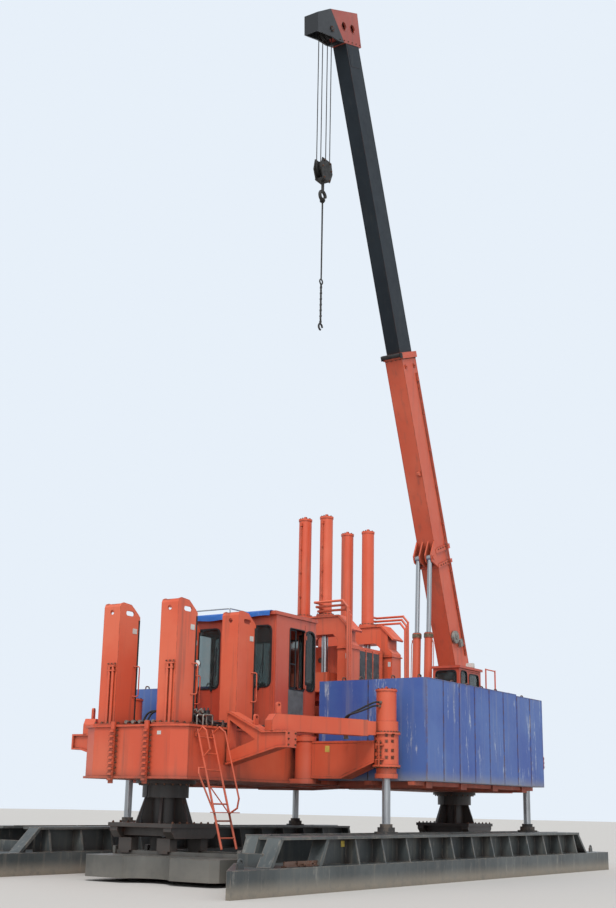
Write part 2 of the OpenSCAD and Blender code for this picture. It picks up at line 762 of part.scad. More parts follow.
// Clamp box with its jaw chamber and the two yokes that the rods pull on
yoke_h = 420;
jaw_chamber_x = 500;
jaw_chamber_y = 460;
jaw_rod_r = 60;
yoke_z = 160;
module clamp_box() {
  color(paint) difference() {
    union() {
      block(-clamp_x, clamp_x, -clamp_y + 40, clamp_y - 40, clamp_bottom, clamp_top);
      block(-portal_x - 170, portal_x + 170, -press_y - 190, press_y + 190,
        clamp_bottom + yoke_z, clamp_bottom + yoke_z + yoke_h);
      // Ribbed cover plates on both sides
      for (s = [-1, 1]) mirror([0, s < 0 ? 1 : 0, 0]) {
        block(-clamp_x + 60, clamp_x - 60, clamp_y - 40 - eps, clamp_y - 15,
          clamp_bottom + 60, clamp_top - 60);
        for (x = [-450, -150, 150, 450])
          block(x - 15, x + 15, clamp_y - 15 - eps, clamp_y, clamp_bottom + 60, clamp_top - 60);
      }
    }
    block(-jaw_chamber_x, jaw_chamber_x, -jaw_chamber_y, jaw_chamber_y, clamp_bottom - eps, clamp_top + eps);
    for (z = [300, 900]) translate([-clamp_x - 400, 0, clamp_bottom + z]) rotate([0, 90, 0])
      cylinder(h = 2 * clamp_x + 800, r = jaw_rod_r + run_fit);
  }
}

module press_rods() {
  color(rod_steel) both_ends() both_sides() translate([portal_x, press_y, 0])
    cylinder_between(clamp_bottom + yoke_z + yoke_h, press_top - 320, press_rod_r);
}

// A clamp jaw with a hollow face, drawn for the rear side
module clamp_jaw() {
  color([0.45, 0.42, 0.38]) {
    difference() {
      block(190, jaw_chamber_x - 5, -jaw_chamber_y + 10, jaw_chamber_y - 10,
        clamp_bottom + 30, clamp_top - 30);
      translate([0, 0, clamp_bottom]) cylinder(h = clamp_h, r = passage_r);
    }
    for (z = [300, 900]) translate([jaw_chamber_x - 5 - eps, 0, clamp_bottom + z]) rotate([0, 90, 0])
      cylinder(h = clamp_x - jaw_chamber_x - 5, r = jaw_rod_r);
  }
}

// COUNTERWEIGHTS

// Columns of the table: first slab, last slab, drop of the top
slab_steps = [[0, 5, 0], [6, 7, 30]];
module counterweights() {
  pitch = 2 * stack_half / slab_count;
  color(slab_blue) both_sides() for (step = slab_steps) for (i = [step[0]:min(step[1], slab_count - 1)]) {
    x0 = -stack_half + i * pitch;
    z1 = stack_top - step[2];
    block(x0, x0 + pitch - slab_gap, stack_inner, stack_seam - slab_gap, stack_bottom, z1);
    block(x0, x0 + pitch - slab_gap, stack_seam, stack_outer, stack_bottom, z1);
  }
}

// LADDER

ladder_x = -6400;
ladder_half = 215;
stile_r = 20;
rung_r = 14;
hoop_r = 16;
ladder_top = [half_w + flange_out + stile_r + seat_gap, 2640];
ladder_foot = [1880, 600];
ladder_run = ladder_foot - ladder_top;
ladder_normal = [-ladder_run[1], ladder_run[0]] / norm(ladder_run);

// Point at a fraction of the ladder's length, moved out from its plane
function on_ladder(x, f, out) = [
  x, ladder_top[0] + f * ladder_run[0] + out * ladder_normal[0],
  ladder_top[1] + f * ladder_run[1] + out * ladder_normal[1]
];

module ladder() {
  xl = ladder_x - ladder_half;
  xr = ladder_x + ladder_half;
  step = on_ladder(0, 0.7, 0);
  color(paint) mirror([0, 1, 0]) {
    for (x = [xl, xr]) {
      bar(on_ladder(x, 0, 0), on_ladder(x, 1, 0), stile_r);
      block(x - 12, x + 12, half_w + seat_gap, ladder_top[0] + 5, ladder_top[1] - 130, ladder_top[1] - 50);
    }
    for (i = [0:6]) bar(on_ladder(xl, 0.07 + 0.14 * i, 0), on_ladder(xr, 0.07 + 0.14 * i, 0), rung_r);
    // Hooped handrails, a brace and a wide step
    bent_bar([on_ladder(xr, 0.03, 0), on_ladder(xr, 0, 170), on_ladder(xr, 0.06, 270),
      on_ladder(xr, 0.62, 270), on_ladder(xr, 0.69, 190), on_ladder(xr, 0.71, 0)], hoop_r);
    bent_bar([on_ladder(xl, 0.03, 0), on_ladder(xl, 0, 120), on_ladder(xl, 0.04, 180),
      on_ladder(xl, 0.2, 180), on_ladder(xl, 0.24, 0)], hoop_r);
    bent_bar([on_ladder(xl, 0.33, 0), on_ladder(xl - 150, 0.33, -30), on_ladder(xl - 180, 0.38, -30),
      on_ladder(xl, 0.71, 0)], hoop_r);
    bar(on_ladder(xl, 0.47, 0), on_ladder(xr, 0.71, 0), 11);
    block(xl - 40, xr + 40, step[1] - 60, step[1] + 210, step[2] - 7, step[2] + 7);
  }
}

// Handrails on the deck beside the power pack
rail_post_r = 19;
module deck_rails() {
  color(paint) both_sides() {
    for (x = [3260, 3620]) bar([x, 1150, deck_z], [x, 1150, deck_z + 1000], rail_post_r);
    for (z = [500, 1000 - rail_post_r]) bar([3240, 1150, deck_z + z], [3640, 1150, deck_z + z], rail_post_r);
  }
}

// CAB

door_free_gap = 14;
door_gap = 8;
hinge_out = 26;
door_y = -520;
front_panes = [[210, 790], [-1070, -620]];
side_pane = [-3070, -2760];
module cab_shell() {
  hw = cab_w / 2;
  color(paint) for (z = [300, 1700])
    hinge_lug(-cab_front - hinge_out, door_y + cab_door_w - door_gap - 10, deck_z + z, 18,
      [-18, hinge_out + eps, 12, 42]);
  color(paint) difference() {
    block(-cab_front, -cab_rear, -hw, hw, deck_z, deck_z + cab_h);
    block(-cab_front + cab_t, -cab_rear - cab_t, -hw + cab_t, hw - cab_t, deck_z + 40, deck_z + cab_h + eps);
    // Front windows and the door opening
    for (y = front_panes)
      block(-cab_front - eps, -cab_front + cab_t + eps, y[0], y[1], deck_z + 900, deck_z + 2080);
    block(-cab_front - eps, -cab_front + cab_t + eps, door_y, door_y + cab_door_w, deck_z + 60, deck_z + 2080);
    // Side openings on both sides
    for (s = [-1, 1]) mirror([0, s < 0 ? 0 : 1, 0]) {
      block(-3660, -3130, -hw - eps, -hw + cab_t + eps, deck_z + 880, deck_z + 2080);
      block(side_pane[0], side_pane[1], -hw - eps, -hw + cab_t + eps, deck_z + 900, deck_z + 2080);
    }
    // Rear window towards the press
    block(-cab_rear - cab_t - eps, -cab_rear + eps, -900, 900, deck_z + 1000, deck_z + 1950);
  }
}

// Lug under a door knuckle: a boss on the hinge axis and its link to the wall
module hinge_lug(x, y, z, r, link) {
  translate([x, y, z - 20 - seat_gap]) {
    cylinder(h = 20, r = r);
    block(link[0], link[1], link[2], link[3], 0, 20);
    block(min(0, link[0]), max(0, link[1]) * 0 + 10, -r + 4, link[2] + 2, 0, 20);
  }
}

module cab_roof() {
  hw = cab_w / 2;
  color(paint) difference() {
    block(-cab_front - 80, -cab_rear + 30, -hw - 30, hw + 30, deck_z + cab_h, deck_z + cab_h + 70);
    block(-cab_front + 200, -cab_rear - 250, -hw + 250, hw - 250, deck_z + cab_h - eps, deck_z + cab_h + 40);
  }
}

module cab_glass() {
  hw = cab_w / 2;
  mid = -cab_front + cab_t / 2;
  color([0.2, 0.25, 0.3, 0.5]) {
    for (y = front_panes)
      block(mid - pane_t / 2, mid + pane_t / 2, y[0] + seat_gap, y[1] - seat_gap,
        deck_z + 900 + seat_gap, deck_z + 2080 - seat_gap);
    for (y = [-hw + cab_t / 2, hw - cab_t / 2])
      block(side_pane[0] + seat_gap, side_pane[1] - seat_gap, y - pane_t / 2, y + pane_t / 2,
        deck_z + 900 + seat_gap, deck_z + 2080 - seat_gap);
    block(-cab_rear - cab_t / 2 - pane_t / 2, -cab_rear - cab_t / 2 + pane_t / 2,
      -900 + seat_gap, 900 - seat_gap,
      deck_z + 1000 + seat_gap, deck_z + 1950 - seat_gap);
  }
}

module cab_interior() {
  floor_z = deck_z + 40;
  color([0.2, 0.2, 0.2]) {
    // Seat
    translate([750 - cab_front, -650, floor_z]) {
      cylinder(h = 330, r = 90);
      block(-250, 250, -250, 250, 330, 440);
      translate([170, 0, 440 - eps]) block(0, 90, -230, 230, 0, 600);
    }
    // Control desk with two levers
    translate([-cab_front, 0, floor_z]) {
      xz_plate(-1100, 800, [[200, 0], [450, 0], [400, 650], [200, 800]]);
      for (y = [-950, -500]) bar([300, y, 700], [370, y, 960], 14);
    }
  }
}

module cab_door() {
  y0 = door_y + door_free_gap;
  y1 = door_y + cab_door_w - door_gap;
  x0 = -cab_front;
  color(paint) difference() {
    union() {
      block(x0, x0 + cab_t, y0, y1, deck_z + 68, deck_z + 2072);
      for (z = [300, 1700]) {
        translate([x0 - hinge_out, y1 - 10, deck_z + z]) cylinder(h = 120, r = 18);
        block(x0 - hinge_out, x0 + eps, y1 - 28, y1 - 4, deck_z + z, deck_z + z + 120);
      }
    }
    block(x0 - eps, x0 + cab_t + eps, y0 + 90, y1 - 90, deck_z + 900, deck_z + 1980);
  }
}

// Tarpaulin folded over the front edge of the roof
module cab_tarpaulin() {
  roof_top = deck_z + cab_h + 70;
  color([0.1, 0.3, 0.75]) {
    xz_plate(-1150, 2300, [
      [-cab_front - 130, roof_top - 140], [-cab_front - 90, roof_top - 140],
      [-cab_front - 85, roof_top + seat_gap],
      [-cab_front + 900, roof_top + seat_gap], [-cab_front + 900, roof_top + 60],
      [-cab_front + 300, roof_top + 110],
      [-cab_front - 60, roof_top + 80], [-cab_front - 130, roof_top]
    ]);
  }
}

// POWER PACK AND CRANE

pack_x0 = 1460;
pack_x1 = 3150;
pack_h = 950;
module power_pack() {
  color(paint) difference() {
    block(pack_x0, pack_x1, -1050, 1050, deck_z, deck_z + pack_h);
    for (i = [0:7]) for (s = [-1, 1])
      block(pack_x0 + 200, pack_x1 - 200, s * 1050 - 30, s * 1050 + 30,
          deck_z + 200 + i * 80, deck_z + 240 + i * 80);
  }
}

module crane_pedestal() {
  color(paint) translate([slew_x, 0, 0]) {
    cylinder_between(deck_z, deck_z + pedestal_h - 60, pedestal_r);
    cylinder_between(deck_z + pedestal_h - 60, deck_z + pedestal_h, pedestal_r + 80);
    for (a = [0:45:315]) rotate([0, 0, a])
      xz_plate(-15, 30, [
        [pedestal_r - 10, deck_z], [pedestal_r + 180, deck_z], [pedestal_r - 10, deck_z + 300]
      ]);
  }
}

crane_deck_z = deck_z + pedestal_h + seat_gap;
crane_deck_t = 180;
crane_deck_x0 = slew_x - 1500;
crane_deck_x1 = slew_x + 1750;
cab_deck_x0 = slew_x - 1440;
cab_deck_x1 = slew_x + 700;
rail_x0 = slew_x + 100;
rail_x1 = slew_x + 650;
rail_top_z = 4840;
plate_x1 = slew_x + 1700;
boom_plate_y = boom_w / 2 + 30;
luff_eye_w = 60;
module crane_deck() {
  z1 = crane_deck_z + crane_deck_t;
  color(paint) difference() {
    union() {
      block(crane_deck_x0, crane_deck_x1, -620, 620, crane_deck_z, z1);
      block(cab_deck_x0, cab_deck_x1, -1300, -619, crane_deck_z + 40, z1);
      translate([slew_x, 0, crane_deck_z]) cylinder(h = 60, r = pedestal_r + 80);
      // Handrail behind the crane cab
      for (x = [rail_x0, rail_x1]) bar([x, -1255, z1 - eps], [x, -1255, rail_top_z + 20], 19);
      for (z = [rail_top_z - 760, rail_top_z]) bar([rail_x0 - 10, -1255, z], [rail_x1 + 10, -1255, z], 16);
      // Side plates that carry the boom pivot
      for (s = [-1, 1]) mirror([0, s < 0 ? 1 : 0, 0])
        xz_plate(boom_plate_y, 50, [
          [rail_x0, z1 - eps], [plate_x1, z1 - eps], [plate_x1 - 50, 3700],
          [boom_pivot_x + 190, boom_pivot_z],
          [boom_pivot_x + 130, boom_pivot_z + 150], [boom_pivot_x - 130, boom_pivot_z + 150],
          [boom_pivot_x - 230, boom_pivot_z - 50], [rail_x0 + 50, 3700]
        ]);
      // Lugs of the luffing cylinders
      for (s = [-1, 1]) for (y = [-luff_eye_w - 46, luff_eye_w + 6])
        xz_plate(s * luff_y + y, 40, [
          [luff_foot_x - 300, z1 - eps], [luff_foot_x + 300, z1 - eps],
          [luff_foot_x + 110, luff_foot_z + 90], [luff_foot_x - 110, luff_foot_z + 90]
        ]);
    }
    translate([boom_pivot_x, -1000, boom_pivot_z]) rotate([-90, 0, 0]) cylinder(h = 2000, r = 80 + run_fit);
    translate([luff_foot_x, -1000, luff_foot_z]) rotate([-90, 0, 0]) cylinder(h = 2000, r = 45 + run_fit);
  }
}

crane_cab_x = [3780, 5000];
crane_cab_y = [-1250, -520];
crane_cab_h = 1500;
module crane_cab() {
  z0 = crane_deck_z + crane_deck_t;
  x0 = crane_cab_x[0];
  x1 = crane_cab_x[1];
  y0 = crane_cab_y[0];
  y1 = crane_cab_y[1];
  t = 40;
  color(paint) for (z = [200, 1100]) translate([x1 - 90 - door_gap - 10, y0 - 22, z0 + z - 20 - seat_gap]) {
    cylinder(h = 20, r = 16);
    block(12, 40, -16, 22 + eps, 0, 20);
    block(-12, 14, -16, 8, 0, 20);
  }
  color(paint) difference() {
    union() {
      block(x0, x1, y0, y1, z0, z0 + crane_cab_h - 60);
      block(x0 - 40, x1 + 40, y0 - 40, y1 + 20, z0 + crane_cab_h - 60, z0 + crane_cab_h);
    }
    block(x0 + t, x1 - t, y0 + t, y1 - t, z0 + t, z0 + crane_cab_h - 60);
    // Windscreen, side window, door opening and rear window
    block(x0 - eps, x0 + t + eps, y0 + 90, y1 - 90, z0 + 600, z0 + crane_cab_h - 130);
    block(x0 + 100, x0 + 420, y0 - eps, y0 + t + eps, z0 + 600, z0 + crane_cab_h - 130);
    block(x0 + 500, x1 - 90, y0 - eps, y0 + t + eps, z0 + 60, z0 + crane_cab_h - 110);
    block(x1 - t - eps, x1 + eps, y0 + 90, y1 - 90, z0 + 700, z0 + crane_cab_h - 130);
  }
}

module crane_cab_glass() {
  z0 = crane_deck_z + crane_deck_t;
  x0 = crane_cab_x[0];
  x1 = crane_cab_x[1];
  y0 = crane_cab_y[0];
  y1 = crane_cab_y[1];
  g = seat_gap;
  color([0.15, 0.2, 0.22, 0.5]) {
    block(x0 + 16, x0 + 24, y0 + 90 + g, y1 - 90 - g, z0 + 600 + g, z0 + crane_cab_h - 130 - g);
    block(x0 + 100 + g, x0 + 420 - g, y0 + 16, y0 + 24, z0 + 600 + g, z0 + crane_cab_h - 130 - g);
    block(x1 - 24, x1 - 16, y0 + 90 + g, y1 - 90 - g, z0 + 700 + g, z0 + crane_cab_h - 130 - g);
  }
}

module crane_door() {
  z0 = crane_deck_z + crane_deck_t;
  x0 = crane_cab_x[0] + 500 + door_free_gap;
  x1 = crane_cab_x[1] - 90 - door_gap;
  y0 = crane_cab_y[0];
  color(paint) difference() {
    union() {
      block(x0, x1, y0, y0 + 40, z0 + 68, z0 + crane_cab_h - 118);
      for (z = [200, 1100]) {
        translate([x1 - 10, y0 - 22, z0 + z]) cylinder(h = 90, r = 16);
        block(x1 - 26, x1 - 6, y0 - 22, y0 + eps, z0 + z, z0 + z + 90);
      }
    }
    block(x0 + 50, x1 - 50, y0 - eps, y0 + 40 + eps, z0 + 600, z0 + crane_cab_h - 170);
  }
}

module winch() {
  z = crane_deck_z + crane_deck_t + 230;
  x = 6560;
  color(steel_dark) {
    translate([x, 0, z]) rotate([90, 0, 0]) {
      translate([0, 0, -210]) cylinder(h = 420, r = 130);
      translate([0, 0, -255]) cylinder(h = 510, r = 50);
      for (s = [-210, 185]) translate([0, 0, s]) cylinder(h = 25, r = 210);
    }
    for (y = [-250, 212]) block(x - 130, x + 130, y, y + 38, crane_deck_z + crane_deck_t, z + 60);
  }
}

// BOOM

// Moves children from the boom's own frame to their place: Z along the boom, -X to its underside
module on_boom() {
  translate([boom_pivot_x, 0, boom_pivot_z]) rotate([0, -boom_lean, 0]) children();
}

guide_s = 7700;
guide_out = 330;
arm_s = 6080;
module boom_base() {
  d = boom_d / 2;
  w = boom_w / 2;
  color(paint) on_boom() difference() {
    union() {
      block(-d, d, -w, w, 700, boom_base_len);
      xz_plate(-w, boom_w, [
        [-d, 701], [-150, -100], [-80, -150], [80, -150], [150, -100], [d, 701]
      ]);
      block(-d - 40, d + 40, -w - 40, w + 40, boom_base_len - 160, boom_base_len);
      block(-d - 35, d + 35, -w - 35, w + 35, luff_pin_s + 60, luff_pin_s + 190);
      block(-d - 35, d + 35, -w - 35, w + 35, luff_pin_s - 320, luff_pin_s - 220);
      // Rope guide on the upper side and the arm bracket on the underside
      for (y = [-90, 60]) xz_plate(y, 30, [
        [d - eps, guide_s - 280], [d + guide_out - 80, guide_s - 110], [d + guide_out, guide_s - 30],
        [d + guide_out, guide_s + 60], [d + guide_out - 80, guide_s + 140], [d - eps, guide_s + 280]
      ]);
      translate([d + guide_out - 120, -61, guide_s + 15]) rotate([-90, 0, 0]) cylinder(h = 122, r = 105);
      xz_plate(-w + 30, 60, [
        [-d + eps, arm_s - 90], [-d - 160, arm_s - 20], [-d - 160, arm_s + 30], [-d + eps, arm_s + 60]
      ]);
      // Brackets of the luffing pins
      for (s = [-1, 1]) mirror([0, s < 0 ? 1 : 0, 0])
        for (y = [luff_y - luff_eye_w - 46, luff_y + luff_eye_w + 6])
          xz_plate(y, 40, [
            [-d + 10, luff_pin_s - 330], [-luff_pin_v - 90, luff_pin_s - 90],
            [-luff_pin_v - 90, luff_pin_s + 90], [-d + 10, luff_pin_s + 420]
          ]);
    }
    block(-d + boom_t, d - boom_t, -w + boom_t, w - boom_t, 750, boom_base_len + eps);
  }
  // Ends of the luffing pins
  color(rod_steel) on_boom() for (s = [-1, 1]) mirror([0, s < 0 ? 1 : 0, 0])
    translate([-luff_pin_v, luff_y + luff_eye_w + 46 - eps, luff_pin_s]) rotate([-90, 0, 0])
      cylinder(h = 24, r = 55);
  color(paint) translate([boom_pivot_x, 0, boom_pivot_z]) rotate([90, 0, 0])
    translate([0, 0, -boom_plate_y - 70]) cylinder(h = 2 * boom_plate_y + 140, r = 80);
}

module boom_inner() {
  d = boom_d / 2 - boom_t - boom_gap;
  w = boom_w / 2 - boom_t - boom_gap;
  t = 30;
  pad = boom_gap - seat_gap;
  color([0.15, 0.17, 0.2]) on_boom() difference() {
    union() {
      block(-d, d, -w, w, inner_start, boom_len);
      // Wear pads that slide in the base section
      for (s = [inner_start + 40, inner_start + 640]) {
        block(-d - pad, d + pad, -0.6 * w, 0.6 * w, s, s + 220);
        block(-0.6 * d, 0.6 * d, -w - pad, w + pad, s, s + 220);
      }
    }
    block(-d + t, d - t, -w + t, w - t, inner_start - eps, boom_len - 60);
  }
}

// Head: two side plates with a nose that is open below, where the falls swing through
module boom_head() {
  w = boom_w / 2 - boom_t - boom_gap;
  b = boom_len;
  color([0.62, 0.2, 0.15]) on_boom() difference() {
    union() {
      for (s = [-1, 1]) mirror([0, s < 0 ? 1 : 0, 0]) {
        xz_plate(w - 30, 40, [
          [480, b], [590, b + 940], [-890, b + 810], [-1300, b + 690], [-1300, b + 85], [-1090, b + 76],
          [-700, b]
        ]);
        xz_plate(w - 22, 34, [[-1299, b + 690], [-1562, b + 615], [-1732, b + 103], [-1299, b + 85]]);
      }
      block(-600, 480, -w + 10 - eps, w - 10 + eps, b, b + 60);
      xz_plate(-w + 10 - eps, 2 * w - 20 + 2 * eps, [
        [420, b + 2], [478, b + 2], [588, b + 938], [-400, b + 850], [-400, b + 800], [520, b + 880]
      ]);
      xz_plate(-w + 20, 2 * w - 40, [
        [-1640, b + 130], [-1732, b + 103], [-1562, b + 615],
        [-1300, b + 690], [-1300, b + 660], [-1540, b + 590]
      ]);
      translate([-sheave_v, -w - 30, sheave_s]) rotate([-90, 0, 0]) cylinder(h = 2 * w + 60, r = 40);
    }
    for (x = [-300, 150]) translate([x, -500, b + 450]) rotate([-90, 0, 0]) cylinder(h = 1000, r = 110);
  }
}

// LUFFING CYLINDERS

luff_pin = [boom_pivot_x - sin(boom_lean) * luff_pin_s - cos(boom_lean) * luff_pin_v,
  boom_pivot_z + cos(boom_lean) * luff_pin_s - sin(boom_lean) * luff_pin_v];
luff_d = luff_pin - [luff_foot_x, luff_foot_z];
luff_len = norm(luff_d);
luff_tilt = atan2(luff_d[0], luff_d[1]);

// Moves children to the foot of a luffing cylinder, with Z along its axis
module on_luff() {
  translate([luff_foot_x, 0, luff_foot_z]) rotate([0, luff_tilt, 0]) children();
}

module luff_barrels() {
  color(paint) on_luff() for (y = [-luff_y, luff_y]) translate([0, y, 0]) {
    difference() {
      union() {
        cylinder_between(130, luff_barrel_len - 120, luff_r);
        block(-70, 70, -luff_eye_w, luff_eye_w, 40, 131);
        rotate([90, 0, 0]) translate([0, 0, -luff_eye_w]) cylinder(h = 2 * luff_eye_w, r = 95);
        rotate([90, 0, 0]) translate([0, 0, -luff_eye_w - 50]) cylinder(h = 2 * luff_eye_w + 100, r = 45);
        translate([0, 0, luff_barrel_len - 120 - eps]) cylinder(h = 120 + eps, r = luff_r + 14);
      }
      cylinder_between(250, luff_barrel_len + eps, luff_rod_r + run_fit);
    }
  }
}

module luff_rods() {
  color(rod_steel) on_luff() for (y = [-luff_y, luff_y]) translate([0, y, 0]) {
    cylinder_between(luff_barrel_len - 420, luff_len - 60, luff_rod_r);
    translate([0, 0, luff_len]) rotate([90, 0, 0]) translate([0, 0, -luff_eye_w])
      cylinder(h = 2 * luff_eye_w, r = 85);
  }
}

// HOOK

sheave_w = 56;
hook_z = -720;
hook_r = 120;
hook_t = 42;
sheave_x = boom_pivot_x - sin(boom_lean) * sheave_s - cos(boom_lean) * sheave_v;
sheave_z = boom_pivot_z + cos(boom_lean) * sheave_s - sin(boom_lean) * sheave_v;
rope_path_r = sheave_r + rope_r + seat_gap;

module sheave_pair() {
  flange = sheave_r + 25;
  lip = sheave_w / 2 - rope_r - 1;
  for (y = [-loop_y, loop_y]) translate([0, y, 0]) rotate([90, 0, 0]) translate([0, 0, -sheave_w / 2])
    rotate_extrude() polygon([
      [40 + run_fit, 0], [flange, 0], [flange, lip - 8], [sheave_r, lip],
      [sheave_r, sheave_w - lip], [flange, sheave_w - lip + 8], [flange, sheave_w], [40 + run_fit, sheave_w]
    ]);
}

module hoist_ropes() {
  color([0.25, 0.25, 0.25]) translate([sheave_x, 0, sheave_z]) {
    sheave_pair();
    for (y = [-loop_y, loop_y]) {
      for (x = [-rope_path_r, rope_path_r])
        translate([x, y, -fall_len]) cylinder(h = fall_len, r = rope_r, $fn = 16);
      translate([0, y, 0]) rotate([90, 0, 0])
        rotate_extrude(angle = 180) translate([rope_path_r, 0]) circle(r = rope_r, $fn = 16);
      translate([0, y, -fall_len]) rotate([-90, 0, 0])
        rotate_extrude(angle = 180) translate([rope_path_r, 0]) circle(r = rope_r, $fn = 16);
    }
  }
}

module hook_block() {
  color([0.1, 0.1, 0.1]) translate([sheave_x, 0, sheave_z - fall_len]) {
    sheave_pair();
    for (y = [-loop_y - sheave_w / 2 - 33, loop_y + sheave_w / 2 + 3]) xz_plate(y, 30, [
      [-150, -330], [150, -330], [260, -60], [200, 230], [-200, 230], [-260, -60]
    ]);
    translate([0, -loop_y - 60, 0]) rotate([-90, 0, 0]) cylinder(h = 2 * loop_y + 120, r = 40);
    block(-110, 110, -loop_y - 31, loop_y + 31, -330, -250);
    cylinder_between(hook_z + hook_r - 5, -329, 38);
    translate([0, 0, hook_z]) rotate([90, 0, 0]) rotate_extrude(angle = 270) translate([hook_r, 0])
      circle(r = hook_t, $fn = 24);
  }
}

// Two slings round the hook, down to a ring, and a short chain with a small hook
sling_r = 12;
ring_z = 13640;
ring_r = 60;
chain_z = ring_z - ring_r - 1040;
small_hook_r = 75;
module slings() {
  bar_z = sheave_z - fall_len + hook_z - hook_r;
  loop_r = hook_t + 5 + sling_r;
  loop_z = bar_z - 1;
  color([0.1, 0.1, 0.1]) translate([sheave_x, 0, 0]) {
    for (s = [-1, 1]) {
      translate([s * 16, 0, loop_z]) rotate([0, 90, 0]) rotate_extrude() translate([loop_r, 0])
        circle(r = sling_r, $fn = 16);
      bar([s * 12, 0, ring_z + ring_r], [s * 16, 0, loop_z - loop_r], sling_r);
    }
    translate([0, 0, ring_z]) rotate([90, 0, 0]) rotate_extrude() translate([ring_r, 0])
      circle(r = 18, $fn = 24);
    cylinder_between(chain_z, ring_z - ring_r, 22);
    translate([0, 0, chain_z - small_hook_r + 5]) rotate([90, 0, 0]) rotate_extrude(angle = 270)
      translate([small_hook_r, 0]) circle(r = 24, $fn = 24);
  }
}

platform_frame();
side_brackets();
side_pile_columns();
guide_pipes();
outrigger_arms();
leg_cylinders();
tie_beams();
counterweights();
ladder();
deck_rails();
cab_shell();
cab_roof();
cab_glass();
cab_interior();
cab_tarpaulin();
press_portals();
press_cylinders();
power_pack();
crane_pedestal();
cab_door();
mirror([0, 1, 0]) legs();  // near_legs
translate([near_shoe_offset, -leg_y, 0]) long_shoe();  // near_long_shoe
legs();  // far_legs
translate([far_shoe_offset, leg_y, 0]) rotate([0, 0, 180]) long_shoe();  // far_long_shoe
translate([-step_x, 0, 0]) step_carriage();  // front_carriage
translate([-step_x, step_offset, 0]) short_shoe();  // front_short_shoe
translate([step_x, 0, 0]) step_carriage();  // rear_carriage
translate([step_x, step_offset, 0]) mirror([1, 0, 0]) short_shoe();  // rear_short_shoe
clamp_box();
press_rods();
mirror([1, 0, 0]) clamp_jaw();  // jaw_front
clamp_jaw();  // jaw_rear
crane_deck();
crane_cab();
crane_cab_glass();
crane_door();
winch();
boom_base();
boom_inner();
boom_head();
luff_barrels();
luff_rods();
hoist_ropes();
hook_block();
slings();
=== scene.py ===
"""Walking static pile driver rig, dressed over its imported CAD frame, in metres."""
import bpy
import bmesh
import math
from mathutils import Matrix, Vector, noise


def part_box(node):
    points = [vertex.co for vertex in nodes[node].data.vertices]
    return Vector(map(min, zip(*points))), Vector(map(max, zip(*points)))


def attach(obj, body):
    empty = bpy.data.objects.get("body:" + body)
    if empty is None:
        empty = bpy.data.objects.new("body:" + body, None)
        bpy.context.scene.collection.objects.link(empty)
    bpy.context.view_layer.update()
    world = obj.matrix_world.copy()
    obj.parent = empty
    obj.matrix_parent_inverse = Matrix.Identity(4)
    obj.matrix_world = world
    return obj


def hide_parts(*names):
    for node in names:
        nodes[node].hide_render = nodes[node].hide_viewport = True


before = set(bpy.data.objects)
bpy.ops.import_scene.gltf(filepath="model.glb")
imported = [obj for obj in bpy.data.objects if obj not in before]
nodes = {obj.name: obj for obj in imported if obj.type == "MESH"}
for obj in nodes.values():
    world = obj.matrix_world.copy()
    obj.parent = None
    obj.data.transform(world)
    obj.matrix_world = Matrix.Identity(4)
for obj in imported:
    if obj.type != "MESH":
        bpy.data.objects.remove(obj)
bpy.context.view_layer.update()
scene = bpy.context.scene

# Stage
# A pale floor and a pale backdrop under plain soft light. The camera stands where the
# photographer stood, low down at the front end, and looks up along the boom.
camera_place = Vector((-24.9, -15.6, 1.34))
camera_right = Vector((0.5474, -0.8366, 0.0183))
camera_up = Vector((-0.2335, -0.1317, 0.9634))
lens_pixels = 1270
photo_height = 908
floor_half = 160.0

camera_data = bpy.data.cameras.new("photo_camera")
camera_data.sensor_width = 36.0
camera_data.lens = lens_pixels / photo_height * camera_data.sensor_width
camera_data.clip_end = 600.0
camera = bpy.data.objects.new("photo_camera", camera_data)
turn = Matrix((camera_right, camera_up, camera_right.cross(camera_up))).transposed()
camera.matrix_world = Matrix.Translation(camera_place) @ turn.to_4x4()
scene.collection.objects.link(camera)
scene.camera = camera

scene.view_settings.view_transform = "Standard"
world = bpy.data.worlds.new("soft_sky")
scene.world = world
world.use_nodes = True
sky = world.node_tree
sky_light = sky.nodes["Background"]
sky_light.inputs["Color"].default_value = (0.93, 0.96, 1.0, 1.0)
sky_light.inputs["Strength"].default_value = 0.72
sky_seen = sky.nodes.new("ShaderNodeBackground")
sky_seen.inputs["Color"].default_value = (0.80, 0.87, 0.95, 1.0)
rays = sky.nodes.new("ShaderNodeLightPath")
seen = rays.outputs["Is Camera Ray"]
for ray in ("Is Glossy Ray", "Is Transmission Ray"):
    either = sky.nodes.new("ShaderNodeMath")
    either.operation = "MAXIMUM"
    sky.links.new(seen, either.inputs[0])
    sky.links.new(rays.outputs[ray], either.inputs[1])
    seen = either.outputs[0]
pick = sky.nodes.new("ShaderNodeMixShader")
for socket, start in zip(pick.inputs, (seen, sky_light.outputs[0], sky_seen.outputs[0])):
    sky.links.new(start, socket)
sky.links.new(pick.outputs[0], sky.nodes["World Output"].inputs["Surface"])

for lamp_name, strength, direction, spread in (
    ("high_sun", 1.9, (0.62, 0.38, -1.0), 0.35),
    ("front_fill", 0.5, (0.9, 0.8, -0.15), 0.9),
):
    lamp_data = bpy.data.lights.new(lamp_name, "SUN")
    lamp_data.energy = strength
    lamp_data.angle = spread
    lamp = bpy.data.objects.new(lamp_name, lamp_data)
    lamp.rotation_euler = Vector(direction).to_track_quat("-Z", "Y").to_euler()
    scene.collection.objects.link(lamp)

